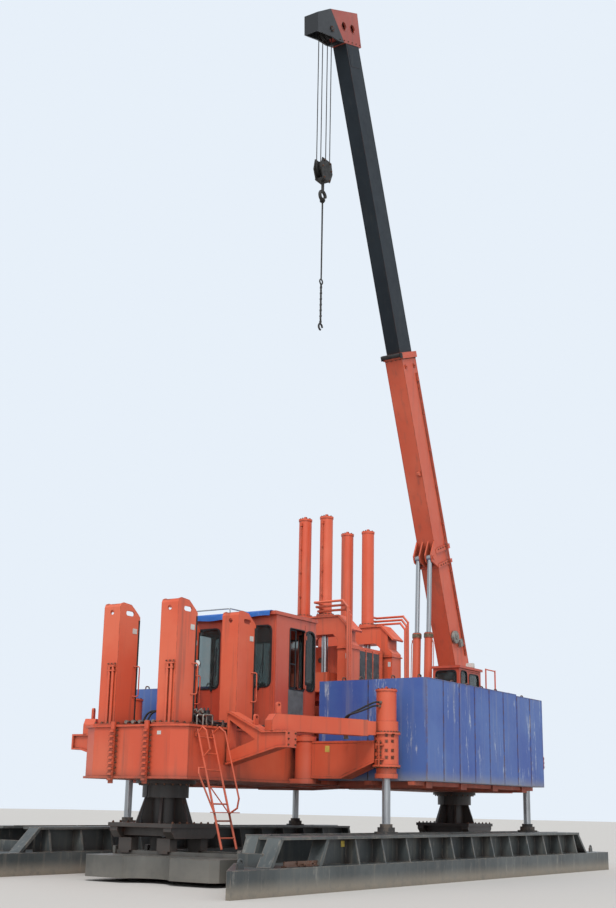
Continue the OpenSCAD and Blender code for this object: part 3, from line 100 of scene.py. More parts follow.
floor_mesh = bpy.data.meshes.new("studio_floor")
floor_mesh.from_pydata(
    [(-floor_half, -floor_half, 0), (floor_half, -floor_half, 0),
     (floor_half, floor_half, 0), (-floor_half, floor_half, 0)], [], [(0, 1, 2, 3)])
floor = bpy.data.objects.new("studio_floor", floor_mesh)
scene.collection.objects.link(floor)


def new_finish(name):
    """A material with its node tree and its shader's inputs."""
    material = bpy.data.materials.new(name)
    material.use_nodes = True
    return material, material.node_tree, material.node_tree.nodes["Principled BSDF"].inputs


floor_paint, _, floor_shader = new_finish("floor_pale")
floor_shader["Base Color"].default_value = (0.52, 0.50, 0.47, 1.0)
floor_shader["Roughness"].default_value = 0.95
floor_mesh.materials.append(floor_paint)

# Platform body
# The welded box girder that carries everything. Thick plate, sprayed orange-red, faded by
# the sun, streaked by rain from the deck edge and worn to brown along its edges.


def feed(tree, socket, value):
    """Links a socket, or sets its value where a number or colour is given."""
    if isinstance(value, (int, float, tuple)):
        socket.default_value = value
    else:
        tree.links.new(value, socket)


def shader_math(tree, operation, a, b, clamp=False):
    node = tree.nodes.new("ShaderNodeMath")
    node.operation = operation
    node.use_clamp = clamp
    feed(tree, node.inputs[0], a)
    feed(tree, node.inputs[1], b)
    return node.outputs[0]


def times(tree, a, b):
    return shader_math(tree, "MULTIPLY", a, b)


def shader_noise(tree, vector, scale, detail=4.0, rough=0.55, stretch=(1, 1, 1)):
    """Noise on a vector, stretched along some of its axes."""
    mapping = tree.nodes.new("ShaderNodeMapping")
    mapping.inputs["Scale"].default_value = stretch
    tree.links.new(vector, mapping.inputs["Vector"])
    node = tree.nodes.new("ShaderNodeTexNoise")
    for name, value in (("Scale", scale), ("Detail", detail), ("Roughness", rough)):
        node.inputs[name].default_value = value
    tree.links.new(mapping.outputs[0], node.inputs["Vector"])
    return node.outputs["Fac"]


def shader_ramp(tree, value, low, high, to_low=0.0, to_high=1.0):
    """A smooth step from low to high."""
    node = tree.nodes.new("ShaderNodeMapRange")
    node.interpolation_type = "SMOOTHSTEP"
    for name, number in (("Value", value), ("From Min", low), ("From Max", high), ("To Min", to_low),
                         ("To Max", to_high)):
        feed(tree, node.inputs[name], number)
    return node.outputs[0]


def shader_mix(tree, factor, a, b):
    node = tree.nodes.new("ShaderNodeMix")
    node.data_type = "RGBA"
    for i, value in ((0, factor), (6, a), (7, b)):
        feed(tree, node.inputs[i], value if not isinstance(value, tuple) else (*value, 1.0)[:4])
    return node.outputs[2]


def shader_dot(tree, one, two):
    node = tree.nodes.new("ShaderNodeVectorMath")
    node.operation = "DOT_PRODUCT"
    feed(tree, node.inputs[0], one)
    feed(tree, node.inputs[1], two)
    return node.outputs["Value"]


def shader_relief(tree, shader, height, distance, strength=1.0):
    """Bump of that depth on a shader."""
    relief = tree.nodes.new("ShaderNodeBump")
    relief.inputs["Distance"].default_value = distance
    relief.inputs["Strength"].default_value = strength
    tree.links.new(height, relief.inputs["Height"])
    tree.links.new(relief.outputs[0], shader["Normal"])


def own_place(tree):
    return tree.nodes.new("ShaderNodeTexCoord").outputs["Object"]


def build_worn_paint():
    """Sprayed paint that has faded, run, rusted and been knocked along its edges, with painted shade tinted
    like grime in its corners.
    """
    tree = bpy.data.node_groups.new("worn_paint", "ShaderNodeTree")
    for name, value in (
        ("Paint", (0.6, 0.1, 0.05, 1)), ("Faded", (0.7, 0.2, 0.1, 1)), ("Rust", (0.12, 0.045, 0.02, 1)),
        ("Dirt", (0.1, 0.08, 0.06, 1)), ("Fade", 0.5), ("Rust Amount", 0.3), ("Streaks", 0.4),
        ("Edge Wear", 0.5), ("Dirt Low", 0.0), ("Dirt High", 0.5), ("Dirt Amount", 0.5), ("Edge Size", 0.02),
        # The two sockets below set the amount and colour of the painted shade in corners
        ("Scrapes", 0.0), ("Scrape Colour", (0.4, 0.4, 0.4, 1)), ("Crevice", 0.75),
        ("Grime", (0.035, 0.020, 0.016, 1)),
    ):
        kind = "NodeSocketColor" if isinstance(value, tuple) else "NodeSocketFloat"
        tree.interface.new_socket(name, in_out="INPUT", socket_type=kind).default_value = value
    for name in ("Color", "Roughness", "Height"):
        kind = "NodeSocketColor" if name == "Color" else "NodeSocketFloat"
        tree.interface.new_socket(name, in_out="OUTPUT", socket_type=kind)
    given = tree.nodes.new("NodeGroupInput").outputs
    leave = tree.nodes.new("NodeGroupOutput").inputs
    place = own_place(tree)
    fine = shader_noise(tree, place, 7.0, 6.0, 0.65)
    fade = shader_ramp(tree, shader_noise(tree, place, 0.55, 5.0), 0.36, 0.68)
    colour = shader_mix(tree, times(tree, fade, given["Fade"]), given["Paint"], given["Faded"])
    runs = shader_ramp(tree, shader_noise(tree, place, 1.0, 5.0, 0.6, (7.0, 7.0, 0.35)), 0.50, 0.78)
    colour = shader_mix(tree, times(tree, runs, given["Streaks"]), colour, given["Dirt"])
    # Pale upright scrapes, broken up by the fine noise
    rubbed = shader_ramp(tree, shader_noise(tree, place, 1.6, 8.0, 0.72, (3.5, 3.5, 0.55)), 0.57, 0.66)
    rubbed = times(tree, rubbed, shader_ramp(tree, fine, 0.36, 0.58))
    colour = shader_mix(tree, times(tree, rubbed, given["Scrapes"]), colour, given["Scrape Colour"])
    rust_start = shader_ramp(tree, given["Rust Amount"], 0.0, 1.0, 0.74, 0.50)
    rust = shader_ramp(tree, shader_noise(tree, place, 3.2, 8.0, 0.7), rust_start,
                       shader_math(tree, "ADD", rust_start, 0.07))
    colour = shader_mix(tree, times(tree, rust, 0.85), colour, given["Rust"])
    # Knocked edges: where a rounded normal leaves the flat one
    rounded = tree.nodes.new("ShaderNodeBevel")
    rounded.samples = 4
    tree.links.new(given["Edge Size"], rounded.inputs["Radius"])
    flat = tree.nodes.new("ShaderNodeNewGeometry").outputs["Normal"]
    edge = shader_ramp(tree, shader_dot(tree, rounded.outputs[0], flat), 0.995, 0.90)
    edge = times(tree, times(tree, edge, shader_ramp(tree, fine, 0.38, 0.60)), given["Edge Wear"])
    colour = shader_mix(tree, edge, colour, given["Rust"])
    # Mud and dust up to a height
    split = tree.nodes.new("ShaderNodeSeparateXYZ")
    tree.links.new(place, split.inputs[0])
    height = shader_math(tree, "ADD", split.outputs["Z"], times(tree, fine, 0.12))
    low = times(tree, shader_ramp(tree, height, given["Dirt High"], given["Dirt Low"]), given["Dirt Amount"])
    low = times(tree, low, shader_ramp(tree, fine, 0.25, 0.6, 0.5, 1.0))
    colour = shader_mix(tree, low, colour, given["Dirt"])
    # Painted shade with a brown tint of grime: the colour darkens in corners and hollows where little light
    # reaches, by ambient occlusion
    nook = tree.nodes.new("ShaderNodeAmbientOcclusion")
    nook.samples = 6
    nook.inputs["Distance"].default_value = 0.22
    shade = shader_ramp(tree, nook.outputs["AO"], 0.78, 0.22)
    shade = times(tree, shade, shader_ramp(tree, fine, 0.22, 0.62, 0.45, 1.0))
    colour = shader_mix(tree, times(tree, shade, given["Crevice"]), colour, given["Grime"])
    tree.links.new(colour, leave["Color"])
    dull = shader_math(tree, "ADD", times(tree, rust, 0.3), times(tree, low, 0.3))
    dull = shader_math(tree, "ADD", dull, times(tree, fine, 0.25))
    tree.links.new(shader_math(tree, "ADD", dull, 0.33, clamp=True), leave["Roughness"])
    dents = times(tree, shader_noise(tree, place, 1.7, 3.0), 1.0)
    tree.links.new(shader_math(tree, "ADD", dents, times(tree, rust, -0.25)), leave["Height"])
    return tree


worn_paint = build_worn_paint()


def painted(name, paint, faded, fade, rust_amount, streaks, edge_wear, dirt_low, dirt_high, dirt_amount,
            dirt=(0.10, 0.065, 0.05), rust=(0.13, 0.045, 0.022), bump=0.012, shine=0.5, **more):
    """A paint finish from the worn paint group, with its own colours and amounts."""
    material, tree, shader = new_finish(name)
    coat = tree.nodes.new("ShaderNodeGroup")
    coat.node_tree = worn_paint
    amounts = dict(paint=paint, faded=faded, fade=fade, rust_amount=rust_amount, streaks=streaks,
                   edge_wear=edge_wear, dirt_low=dirt_low, dirt_high=dirt_high, dirt_amount=dirt_amount,
                   dirt=dirt, rust=rust, **more)
    for socket, value in amounts.items():
        value = (*value, 1.0) if isinstance(value, tuple) else value
        coat.inputs[socket.replace("_", " ").title()].default_value = value
    tree.links.new(coat.outputs["Color"], shader["Base Color"])
    tree.links.new(coat.outputs["Roughness"], shader["Roughness"])
    shader["Specular IOR Level"].default_value = shine
    shader_relief(tree, shader, coat.outputs["Height"], bump, 0.5)
    return material


def dress(material, *names):
    """Gives CAD nodes a finish."""
    for name in names:
        slots = nodes[name].data.materials
        slots.clear()
        slots.append(material)


body_red, body_faded = (0.60, 0.085, 0.035), (0.68, 0.15, 0.075)
orange = painted("orange_body", body_red, body_faded, 0.7, 0.18, 0.45, 0.75, 1.76, 2.05, 0.55)
dress(orange, "platform_frame")

# Bolts of the platform
# Hexagon heads on round washers, a little rusty, along the deck's edge, round the foot
# plates of the columns and portals, and on the plates of the front end and the brackets.


def build_bolt_nodes():
    """Puts a hexagon bolt on every point, turned to the point's own facing direction."""
    tree = bpy.data.node_groups.new("bolts_on_points", "GeometryNodeTree")

    def link(*pairs):
        for start, end in pairs:
            tree.links.new(start, end)

    for name, kind in (("Points", "Geometry"), ("Head Width", "Float"), ("Seed", "Int"),
                       ("Finish", "Material")):
        tree.interface.new_socket(name, in_out="INPUT", socket_type="NodeSocket" + kind)
    tree.interface.new_socket("Bolts", in_out="OUTPUT", socket_type="NodeSocketGeometry")
    enter = tree.nodes.new("NodeGroupInput").outputs
    leave = tree.nodes.new("NodeGroupOutput")
    joined = tree.nodes.new("GeometryNodeJoinGeometry")
    # Washer, head and the end of the stud: corners, width factor, height factor, lift factor
    for corners, wide, high, lift in ((18, 0.72, 0.14, 0.07), (6, 0.56, 0.60, 0.42), (10, 0.27, 0.30, 0.82)):
        disc = tree.nodes.new("GeometryNodeMeshCylinder")
        disc.inputs["Vertices"].default_value = corners
        offset = tree.nodes.new("ShaderNodeCombineXYZ")
        move = tree.nodes.new("GeometryNodeTransform")
        link((times(tree, enter["Head Width"], wide), disc.inputs["Radius"]),
             (times(tree, enter["Head Width"], high), disc.inputs["Depth"]),
             (times(tree, enter["Head Width"], lift), offset.inputs["Z"]),
             (disc.outputs["Mesh"], move.inputs["Geometry"]), (offset.outputs[0], move.inputs["Translation"]),
             (move.outputs[0], joined.inputs[0]))
    facing = tree.nodes.new("GeometryNodeInputNamedAttribute")
    facing.data_type = "FLOAT_VECTOR"
    facing.inputs["Name"].default_value = "facing"
    align = tree.nodes.new("FunctionNodeAlignRotationToVector")
    align.axis = "Z"
    spin = tree.nodes.new("FunctionNodeRandomValue")
    spin.data_type = "FLOAT"
    spin.inputs[3].default_value = math.tau
    about = tree.nodes.new("ShaderNodeCombineXYZ")
    turned = tree.nodes.new("FunctionNodeRotateRotation")
    turned.rotation_space = "LOCAL"
    place = tree.nodes.new("GeometryNodeInstanceOnPoints")
    real = tree.nodes.new("GeometryNodeRealizeInstances")
    finish = tree.nodes.new("GeometryNodeSetMaterial")
    link((facing.outputs["Attribute"], align.inputs["Vector"]), (enter["Seed"], spin.inputs["Seed"]),
         (spin.outputs[1], about.inputs["Z"]), (align.outputs[0], turned.inputs[0]),
         (about.outputs[0], turned.inputs[1]), (enter["Points"], place.inputs["Points"]),
         (joined.outputs[0], place.inputs["Instance"]), (turned.outputs[0], place.inputs["Rotation"]),
         (place.outputs[0], real.inputs[0]), (real.outputs[0], finish.inputs["Geometry"]),
         (enter["Finish"], finish.inputs["Material"]), (finish.outputs[0], leave.inputs[0]))
    return tree


bolt_nodes = build_bolt_nodes()


def settle(obj, body, sharp=35.0):
    """Smooths a piece up to its sharp edges and lets it ride on a CAD body."""
    obj.data.shade_smooth()
    obj.data.set_sharp_from_angle(angle=math.radians(sharp))
    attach(obj, body)
    return obj


def grown(name, start, tree, body, slot, **inputs):
    """Runs a node tree on a mesh and keeps the result as a plain mesh."""
    obj = bpy.data.objects.new(name, start)
    scene.collection.objects.link(obj)
    modifier = obj.modifiers.new("grow", "NODES")
    modifier.node_group = tree
    for item in tree.interface.items_tree:
        key = item.name.replace(" ", "_").lower()
        if item.in_out == "INPUT" and key in inputs:
            modifier[item.identifier] = inputs[key]
    bpy.context.view_layer.update()
    made = bpy.data.meshes.new_from_object(obj.evaluated_get(bpy.context.evaluated_depsgraph_get()))
    obj.modifiers.clear()
    obj.data = made
    made.name = name
    return settle(obj, body)


def bolts(name, spots, width, seed=1, body="platform", place=Matrix()):
    """A piece of many bolts. A spot is a point and the direction that its head faces."""
    points = bpy.data.meshes.new(name)
    points.from_pydata([tuple(place @ Vector(point)) for point, _ in spots], [], [])
    facing = points.attributes.new("facing", "FLOAT_VECTOR", "POINT")
    for item, (_, direction) in zip(facing.data, spots):
        item.vector = place.to_3x3() @ Vector(direction)
    return grown(name, points, bolt_nodes, body, "worn_steel", head_width=width, seed=seed, finish=bolt_steel)


def plain(name, colour, rough, metal=0.0, scale=9.0, shade=0.35, bump=0.0):
    """A plain finish whose colour and gloss vary a little, with an optional fine grain."""
    material, tree, shader = new_finish(name)
    place = own_place(tree)
    cloud = shader_noise(tree, place, scale, 5.0, 0.6)
    darker = tuple(c * (1 - shade) for c in colour)
    tint = shader_mix(tree, shader_ramp(tree, cloud, 0.35, 0.7), colour, darker)
    tree.links.new(tint, shader["Base Color"])
    tree.links.new(shader_ramp(tree, cloud, 0.3, 0.7, rough, min(1.0, rough + 0.2)), shader["Roughness"])
    shader["Metallic"].default_value = metal
    if bump:
        shader_relief(tree, shader, shader_noise(tree, place, 12 * scale, 3.0), bump)
    return material


bolt_steel = plain("bolt_steel", (0.20, 0.10, 0.065), 0.55, 0.6, scale=14.0, shade=0.5)
both = (-1, 1)
quarters = [(sx, sy) for sx in both for sy in both]
up, down = (0, 0, 1), (0, 0, -1)


def row(start, end, count, facing=up):
    """Evenly spaced bolt spots between two points, both ends included."""
    a, b = Vector(start), Vector(end)
    return [(a.lerp(b, i / (count - 1)), facing) for i in range(count)]


def ring(centre, radius, count, facing=up, start=0.0):
    """Bolt spots on a level circle."""
    angles = [start + i * math.tau / count for i in range(count)]
    return [(Vector(centre) + radius * Vector((math.cos(a), math.sin(a), 0)), facing) for a in angles]


deck_z = 2.72
foot_z = deck_z + 0.03
column_x, column_y = (-6.59, -4.72), 0.70
spots = []
for side in both:
    for start in (-6.3, 3.9):
        spots += row((start, side * 1.216, deck_z), (start + 2.4, side * 1.216, deck_z), 17)
    for x in column_x:
        y = side * column_y
        for s in both:
            spots += row((x + s * 0.32, y - 0.22, foot_z), (x + s * 0.32, y + 0.22, foot_z), 4)
        for s in both:
            spots += row((x - 0.2, y + s * 0.23, foot_z), (x + 0.2, y + s * 0.23, foot_z), 3)
    for x in (-0.93, 0.93):
        for s in both:
            spots += row((x + s * 0.23, side * 0.80, foot_z), (x + s * 0.23, side * 1.05, foot_z), 3)
bolts("platform_bolts", spots, 0.038)
# The toothed strips of the end face and the lug plates of the brackets
spots = []
for y in (-0.40, 0.40):
    for side in both:
        spots += row((-6.985, y + side * 0.085, 1.86), (-6.985, y + side * 0.085, 2.62), 9, (-1, 0, 0))
for sx, sy in quarters:
    for dx in (-0.11, 0.11):
        spots += row((sx * 5.6 + dx, sy * 2.6, 2.40), (sx * 5.6 + dx, sy * 2.6, 2.60), 3, (0, sy, 0))
bolts("body_plate_bolts", spots, 0.027, 3)

# Hoses and pipes on the front deck
# Rubber hoses with crimped steel ends lie clipped to the deck between the columns and run
# from the valve block to the side pile cylinders.


def piece(name, bm, material, body="platform", sharp=35.0, place=None):
    """Turns a bmesh, moved by the matrix where one is given, into a named piece on a CAD body."""
    if place:
        bmesh.ops.transform(bm, matrix=place, verts=bm.verts[:])
    bmesh.ops.recalc_face_normals(bm, faces=bm.faces)
    mesh = bpy.data.meshes.new(name)
    bm.to_mesh(mesh)
    bm.free()
    mesh.materials.append(material)
    obj = bpy.data.objects.new(name, mesh)
    scene.collection.objects.link(obj)
    return settle(obj, body, sharp)


def add_box(bm, low, high, edge=0.006, matrix=None):
    """A box with rounded edges between two corners, turned by the matrix where one is given."""
    low, high = Vector(low), Vector(high)
    middle, size = (low + high) / 2, high - low
    corners = bmesh.ops.create_cube(bm, size=1.0)["verts"]
    for v in corners:
        v.co = Vector(v.co[i] * size[i] for i in range(3)) + middle
    if matrix is not None:
        bmesh.ops.transform(bm, matrix=matrix, verts=corners)
    if edge:
        edges = {e for v in corners for e in v.link_edges}
        bmesh.ops.bevel(bm, geom=list(edges), offset=min(edge, 0.4 * min(size)), segments=2, affect="EDGES")


def add_block(bm, middle, size, edge=0.006, matrix=None):
    """A box with rounded edges, given by its middle and its size."""
    middle, half = Vector(middle), Vector(size) / 2
    add_box(bm, middle - half, middle + half, edge, matrix)


def add_drum(bm, centre, axis, radius, length, sides=24, edge=0.004):
    """A short round bar with rounded rims, its middle at the centre."""
    turn_to = Vector(up).rotation_difference(Vector(axis)).to_matrix().to_4x4()
    made = bmesh.ops.create_cone(bm, cap_ends=True, segments=sides, radius1=radius, radius2=radius,
                                 depth=length, matrix=Matrix.Translation(centre) @ turn_to)
    if edge:
        rims = {e for v in made["verts"] for e in v.link_edges if any(len(f.verts) > 4 for f in e.link_faces)}
        bmesh.ops.bevel(bm, geom=list(rims), offset=edge, segments=2, affect="EDGES")


def rounded_path(points, bend, steps=6):
    """The points with each inner corner replaced by a smooth curve of that size."""
    path = [points[0]]
    for before, corner, after in zip(points, points[1:], points[2:]):
        reach = min(bend, 0.45 * (corner - before).length, 0.45 * (after - corner).length)
        a = corner + (before - corner).normalized() * reach
        b = corner + (after - corner).normalized() * reach
        for t in (i / steps for i in range(steps + 1)):
            path.append(a * (1 - t) ** 2 + corner * 2 * t * (1 - t) + b * t * t)
    return path + [points[-1]]


def add_tube(bm, points, radius, bend=0.1, sides=10, steps=6):
    """A closed round tube along the points, with bent corners."""
    path = [Vector(p) for p in points]
    if len(path) > 2:
        path = rounded_path(path, bend, steps)
    side = (path[1] - path[0]).normalized().orthogonal().normalized()
    rings = []
    for i, spot in enumerate(path):
        ahead = (path[min(i + 1, len(path) - 1)] - path[max(i - 1, 0)]).normalized()
        side = (side - ahead * side.dot(ahead)).normalized()
        other = ahead.cross(side)
        rings.append([bm.verts.new(spot + (side * math.cos(a) + other * math.sin(a)) * radius)
                      for a in (k * math.tau / sides for k in range(sides))])
    for one, two in zip(rings, rings[1:]):
        for k in range(sides):
            bm.faces.new((one[k], one[(k + 1) % sides], two[(k + 1) % sides], two[k]))
    bm.faces.new(reversed(rings[0]))
    bm.faces.new(rings[-1])


def add_bead(bm, start, end, radius=0.009):
    """A straight bead of weld or thin seam."""
    add_tube(bm, [start, end], radius, 0, 6)


def add_grip(bm, foot, far_foot, out, radius, bend, sides=10):
    """A bar bent at both ends that stands out from its two feet."""
    foot, far_foot, out = Vector(foot), Vector(far_foot), Vector(out)
    add_tube(bm, [foot, foot + out, far_foot + out, far_foot], radius, bend, sides)


def hoses(name, routes, radius, bend=0.12):
    """Rubber hoses with crimped steel ends, as one piece of rubber and one of steel."""
    rubber, ends = bmesh.new(), bmesh.new()
    for route in routes:
        add_tube(rubber, route, radius, bend)
        for tip, inner in ((route[0], route[1]), (route[-1], route[-2])):
            toward = (Vector(inner) - Vector(tip)).normalized()
            for along, wide, long, sides in ((1.6, 1.35, 3.4, 12), (0.3, 1.7, 1.0, 6)):
                add_drum(ends, Vector(tip) + toward * along * radius, toward, wide * radius, long * radius,
                         sides, 0)
    piece(name, rubber, hose_rubber, sharp=60)
    piece(name + "_ends", ends, fitting_steel)


hose_rubber = plain("hose_rubber", (0.016, 0.016, 0.018), 0.6, scale=6.0, bump=0.001)
fitting_steel = plain("fitting_steel", (0.32, 0.30, 0.26), 0.4, 0.8, scale=12.0)
routes = []
for i in range(6):
    y, z = -0.62 - 0.07 * i, deck_z + 0.05 + 0.035 * (i % 2)
    routes.append([(-6.12, y + 0.05, z + 0.22), (-5.95, y, z), (-5.2 - 0.1 * i, y - 0.01 * i, z),
                   (-4.55 - 0.04 * i, -0.98 - 0.02 * i, z), (-3.98, -0.99 - 0.02 * i, z + 0.02)])
for i in range(5):
    y = -0.36 + 0.16 * i
    routes.append([(-6.80, y, deck_z + 0.06), (-6.5, y + 0.03, deck_z + 0.07), (-5.9, 0.3 * y, deck_z + 0.09),
                   (-5.3, 0.25 * y, deck_z + 0.07), (-4.95, 0.5 * y, deck_z + 0.25)])
for dy in (0.0, 0.10):
    routes.append([(-6.20, 0.42 - dy, deck_z + 0.03), (-6.12, 0.34 - dy, deck_z + 0.30),
                   (-5.86, -0.12 - dy, deck_z + 0.33), (-5.60, -0.40 - dy, deck_z + 0.05)])
hoses("deck_hoses", routes, 0.021)
bm = bmesh.new()
for x in (-5.7, -5.0, -4.3):
    add_box(bm, (x - 0.03, -1.14, deck_z), (x + 0.03, -0.55, deck_z + 0.022), 0.004)
    add_box(bm, (x - 0.025, -1.14, deck_z + 0.118), (x + 0.025, -0.55, deck_z + 0.13), 0.003)
    for y in (-1.125, -0.565):
        add_box(bm, (x - 0.025, y - 0.01, deck_z + 0.01), (x + 0.025, y + 0.01, deck_z + 0.125), 0.002)
piece("deck_hose_clips", bm, fitting_steel)
# Valve block with its plugs
bm = bmesh.new()
add_box(bm, (-5.16, -0.34, deck_z), (-4.96, 0.34, deck_z + 0.30), 0.012)
for y in (-0.27 + 0.09 * i for i in range(7)):
    add_drum(bm, (-5.17, y, deck_z + 0.20), (-1, 0, 0), 0.026, 0.05, 14)
    add_box(bm, (-5.10, y - 0.03, deck_z + 0.30), (-5.02, y + 0.03, deck_z + 0.38), 0.008)
    add_drum(bm, (-5.06, y, deck_z + 0.40), up, 0.016, 0.06, 12)
valve_grey = plain("valve_grey", (0.10, 0.105, 0.11), 0.45, 0.5, scale=8.0)
piece("deck_valves", bm, valve_grey)
# Raised lozenges of the tread plate on the front deck, between the columns' foot plates
bm = bmesh.new()
for k in range(44):
    for j in range(34):
        x, y = -6.80 + 0.06 * k, -0.99 + 0.06 * j
        if any(abs(x - cx) < 0.37 and abs(y - s * column_y) < 0.28 for cx in column_x for s in both):
            continue
        angle = math.radians(45 if (k + j) % 2 else -45)
        turned = Matrix.Translation((x, y, deck_z)) @ Matrix.Rotation(angle, 4, "Z")
        low = [bm.verts.new(turned @ Vector((u, v, -0.001)))
               for u, v in ((-0.02, 0), (0, -0.006), (0.02, 0), (0, 0.006))]
        tip = [bm.verts.new(turned @ Vector((u, 0, 0.0025))) for u in (-0.012, 0.012)]
        for corners in ((low[0], low[1], tip[0]), (low[1], tip[1], tip[0]), (low[1], low[2], tip[1]),
                        (low[2], low[3], tip[1]), (low[3], tip[0], tip[1]), (low[3], low[0], tip[0])):
            bm.faces.new(corners)
piece("deck_tread", bm, orange, sharp=20)
# Blank plate on the end face
bm = bmesh.new()
add_box(bm, (-6.9535, -0.69, 2.535), (-6.9495, -0.60, 2.60), 0.001)
plate_white = plain("plate_white", (0.62, 0.62, 0.58), 0.45, shade=0.2)
piece("body_plate", bm, plate_white)
# Bent bar handles on the deck corner near the ladder
bm = bmesh.new()
for y in (-1.12, -0.98):
    add_grip(bm, (-6.30, y, deck_z - 0.005), (-6.02, y, deck_z - 0.005), (0, 0, 0.205), 0.014, 0.05)
add_tube(bm, [(-6.16, -1.12, deck_z + 0.20), (-6.16, -0.98, deck_z + 0.20)], 0.012)
piece("ladder_grab_bars", bm, fitting_steel)

# Side brackets, tie beams and outrigger arms
# Welded plate brackets that fold the legs for the road. Pins hold the tie beams to the
# brackets, and each joint plate has its own edge of bare, rusty steel.
orange_arm = painted("orange_arm", body_red, (0.66, 0.14, 0.07), 0.6, 0.22, 0.5, 0.8, 1.8, 2.2, 0.35)
dress(orange_arm, "side_brackets", "tie_beams", "outrigger_arms")

# Side pile columns
# Four tall boxes that guide the clamp for piles driven beside the machine.
orange_column = painted("orange_column", (0.66, 0.098, 0.040), (0.74, 0.175, 0.09), 0.6, 0.16, 0.5, 0.8,
                        2.7, 3.2, 0.3)
dress(orange_column, "side_pile_columns", "guide_pipes")

# Fittings on the columns
# Pipe flanges with bolts, a grab handle, screwed guide strips and a blank plate on each
# column, and work lamps on their own stirrups.
strip_black = plain("strip_black", (0.03, 0.028, 0.027), 0.6, 0.2, scale=7.0, shade=0.5)
plates, handles, strips = bmesh.new(), bmesh.new(), bmesh.new()
for x in column_x:
    for y in (-column_y, column_y):
        add_box(plates, (x + 0.09, y - 0.2065, 4.45), (x + 0.21, y - 0.1995, 4.55), 0.002)
        add_grip(handles, (x + 0.17, y - 0.195, 3.84), (x + 0.17, y - 0.195, 3.28), (0.08, -0.085, 0),
                 0.012, 0.04)
        add_box(strips, (x + 0.248, y - 0.2055, 2.79), (x + 0.289, y - 0.199, 4.72), 0.002)
        for i in range(9):
            add_drum(strips, (x + 0.268, y - 0.2075, 2.88 + 0.22 * i), (0, -1, 0), 0.010, 0.006, 10, 0.001)
piece("column_plates", plates, plate_white)
piece("column_handles", handles, orange_column)
piece("column_strips", strips, strip_black)
spots = []
for side in both:
    for dy in (-0.085, 0.0, 0.085):
        y = side * column_y - 0.08 + dy
        spots += [((-6.906, y, 3.734), down), ((-6.906, y, 3.839), up)]
bolts("pipe_flange_bolts", spots, 0.026, 5)


def add_lamp(bodywork, glass, centre, facing, size):
    """A round work lamp: a bowl with a rim and a stirrup, and its ribbed glass."""
    centre, facing = Vector(centre), Vector(facing).normalized()
    side = facing.cross(Vector(up)).normalized()
    for bm, ahead, wide, long, sides, edge in (
        (bodywork, 0.0, 1.0, 0.5, 24, 0.1), (bodywork, -0.4, 0.7, 0.5, 20, 0.12),
        (bodywork, 0.25, 1.08, 0.1, 24, 0.02), (glass, 0.31, 0.9, 0.04, 24, 0),
    ):
        add_drum(bm, centre + facing * ahead * size, facing, wide * size, long * size, sides, edge * size)
    ends = [centre + side * s * 1.15 * size for s in both]
    foot = centre - Vector((0, 0, 1.35 * size))
    drop = Vector((0, 0, 1.3 * size))
    add_tube(bodywork, [ends[0], ends[0] - drop, foot, ends[1] - drop, ends[1]], 0.09 * size, 0.25 * size, 8)
    add_drum(bodywork, foot - Vector((0, 0, 0.12 * size)), up, 0.3 * size, 0.28 * size, 12, 0)
    for i in range(-3, 4):
        half = Vector((0, 0, 0.82 * size * math.sqrt(1 - (i / 4.2) ** 2)))
        spot = centre + facing * 0.335 * size + side * (i * 0.21 * size)
        add_bead(glass, spot - half, spot + half, 0.035 * size)


lamp_black = plain("lamp_black", (0.02, 0.02, 0.022), 0.4)
lamp_lens = plain("lamp_lens", (0.75, 0.76, 0.74), 0.12, shade=0.1)
shells, lenses = bmesh.new(), bmesh.new()
add_lamp(shells, lenses, (-6.24, -0.88, 3.86), (-0.7, -0.7, -0.1), 0.06)
for side in both:
    add_lamp(shells, lenses, (2.9, side * 0.95, 3.83), (0.2, side, -0.1), 0.085)
piece("deck_lamps", shells, lamp_black)
piece("deck_lamp_lenses", lenses, lamp_lens)

# Legs
# Lifting cylinders with bolted sleeves, chromed rods and the cups and trolleys they stand on.
# Each cylinder has a ring of bolts at both flanges, a side port and a clipped pipe.
orange_leg = painted("orange_leg", (0.62, 0.09, 0.035), body_faded, 0.5, 0.12, 0.4, 0.7, 1.85, 2.2, 0.3)
dress(orange_leg, "leg_cylinders")


def polished(name, foot=None):
    """Ground and chromed steel with faint rings of oil. Below the foot's height it is dull dark paint."""
    material, tree, shader = new_finish(name)
    place = own_place(tree)
    oil = shader_noise(tree, place, 2.0, 4.0, 0.6, (2.0, 2.0, 0.5))
    tint = shader_mix(tree, times(tree, shader_ramp(tree, oil, 0.5, 0.9), 0.35), (0.36, 0.37, 0.38),
                      (0.10, 0.09, 0.08))
    gloss = shader_ramp(tree, oil, 0.3, 0.8, 0.26, 0.38)
    shader["Metallic"].default_value = 0.9
    if foot:
        split = tree.nodes.new("ShaderNodeSeparateXYZ")
        tree.links.new(place, split.inputs[0])
        upper = shader_ramp(tree, split.outputs["Z"], foot - 0.002, foot + 0.002)
        mud = shader_ramp(tree, shader_noise(tree, place, 6.0, 6.0, 0.65), 0.42, 0.62)
        muddy = shader_mix(tree, mud, (0.045, 0.043, 0.042), (0.13, 0.105, 0.085))
        tint = shader_mix(tree, upper, muddy, tint)
        gloss = shader_ramp(tree, upper, 0.0, 1.0, 0.75, gloss)
        tree.links.new(times(tree, upper, 0.9), shader["Metallic"])
    tree.links.new(tint, shader["Base Color"])
    tree.links.new(gloss, shader["Roughness"])
    return material


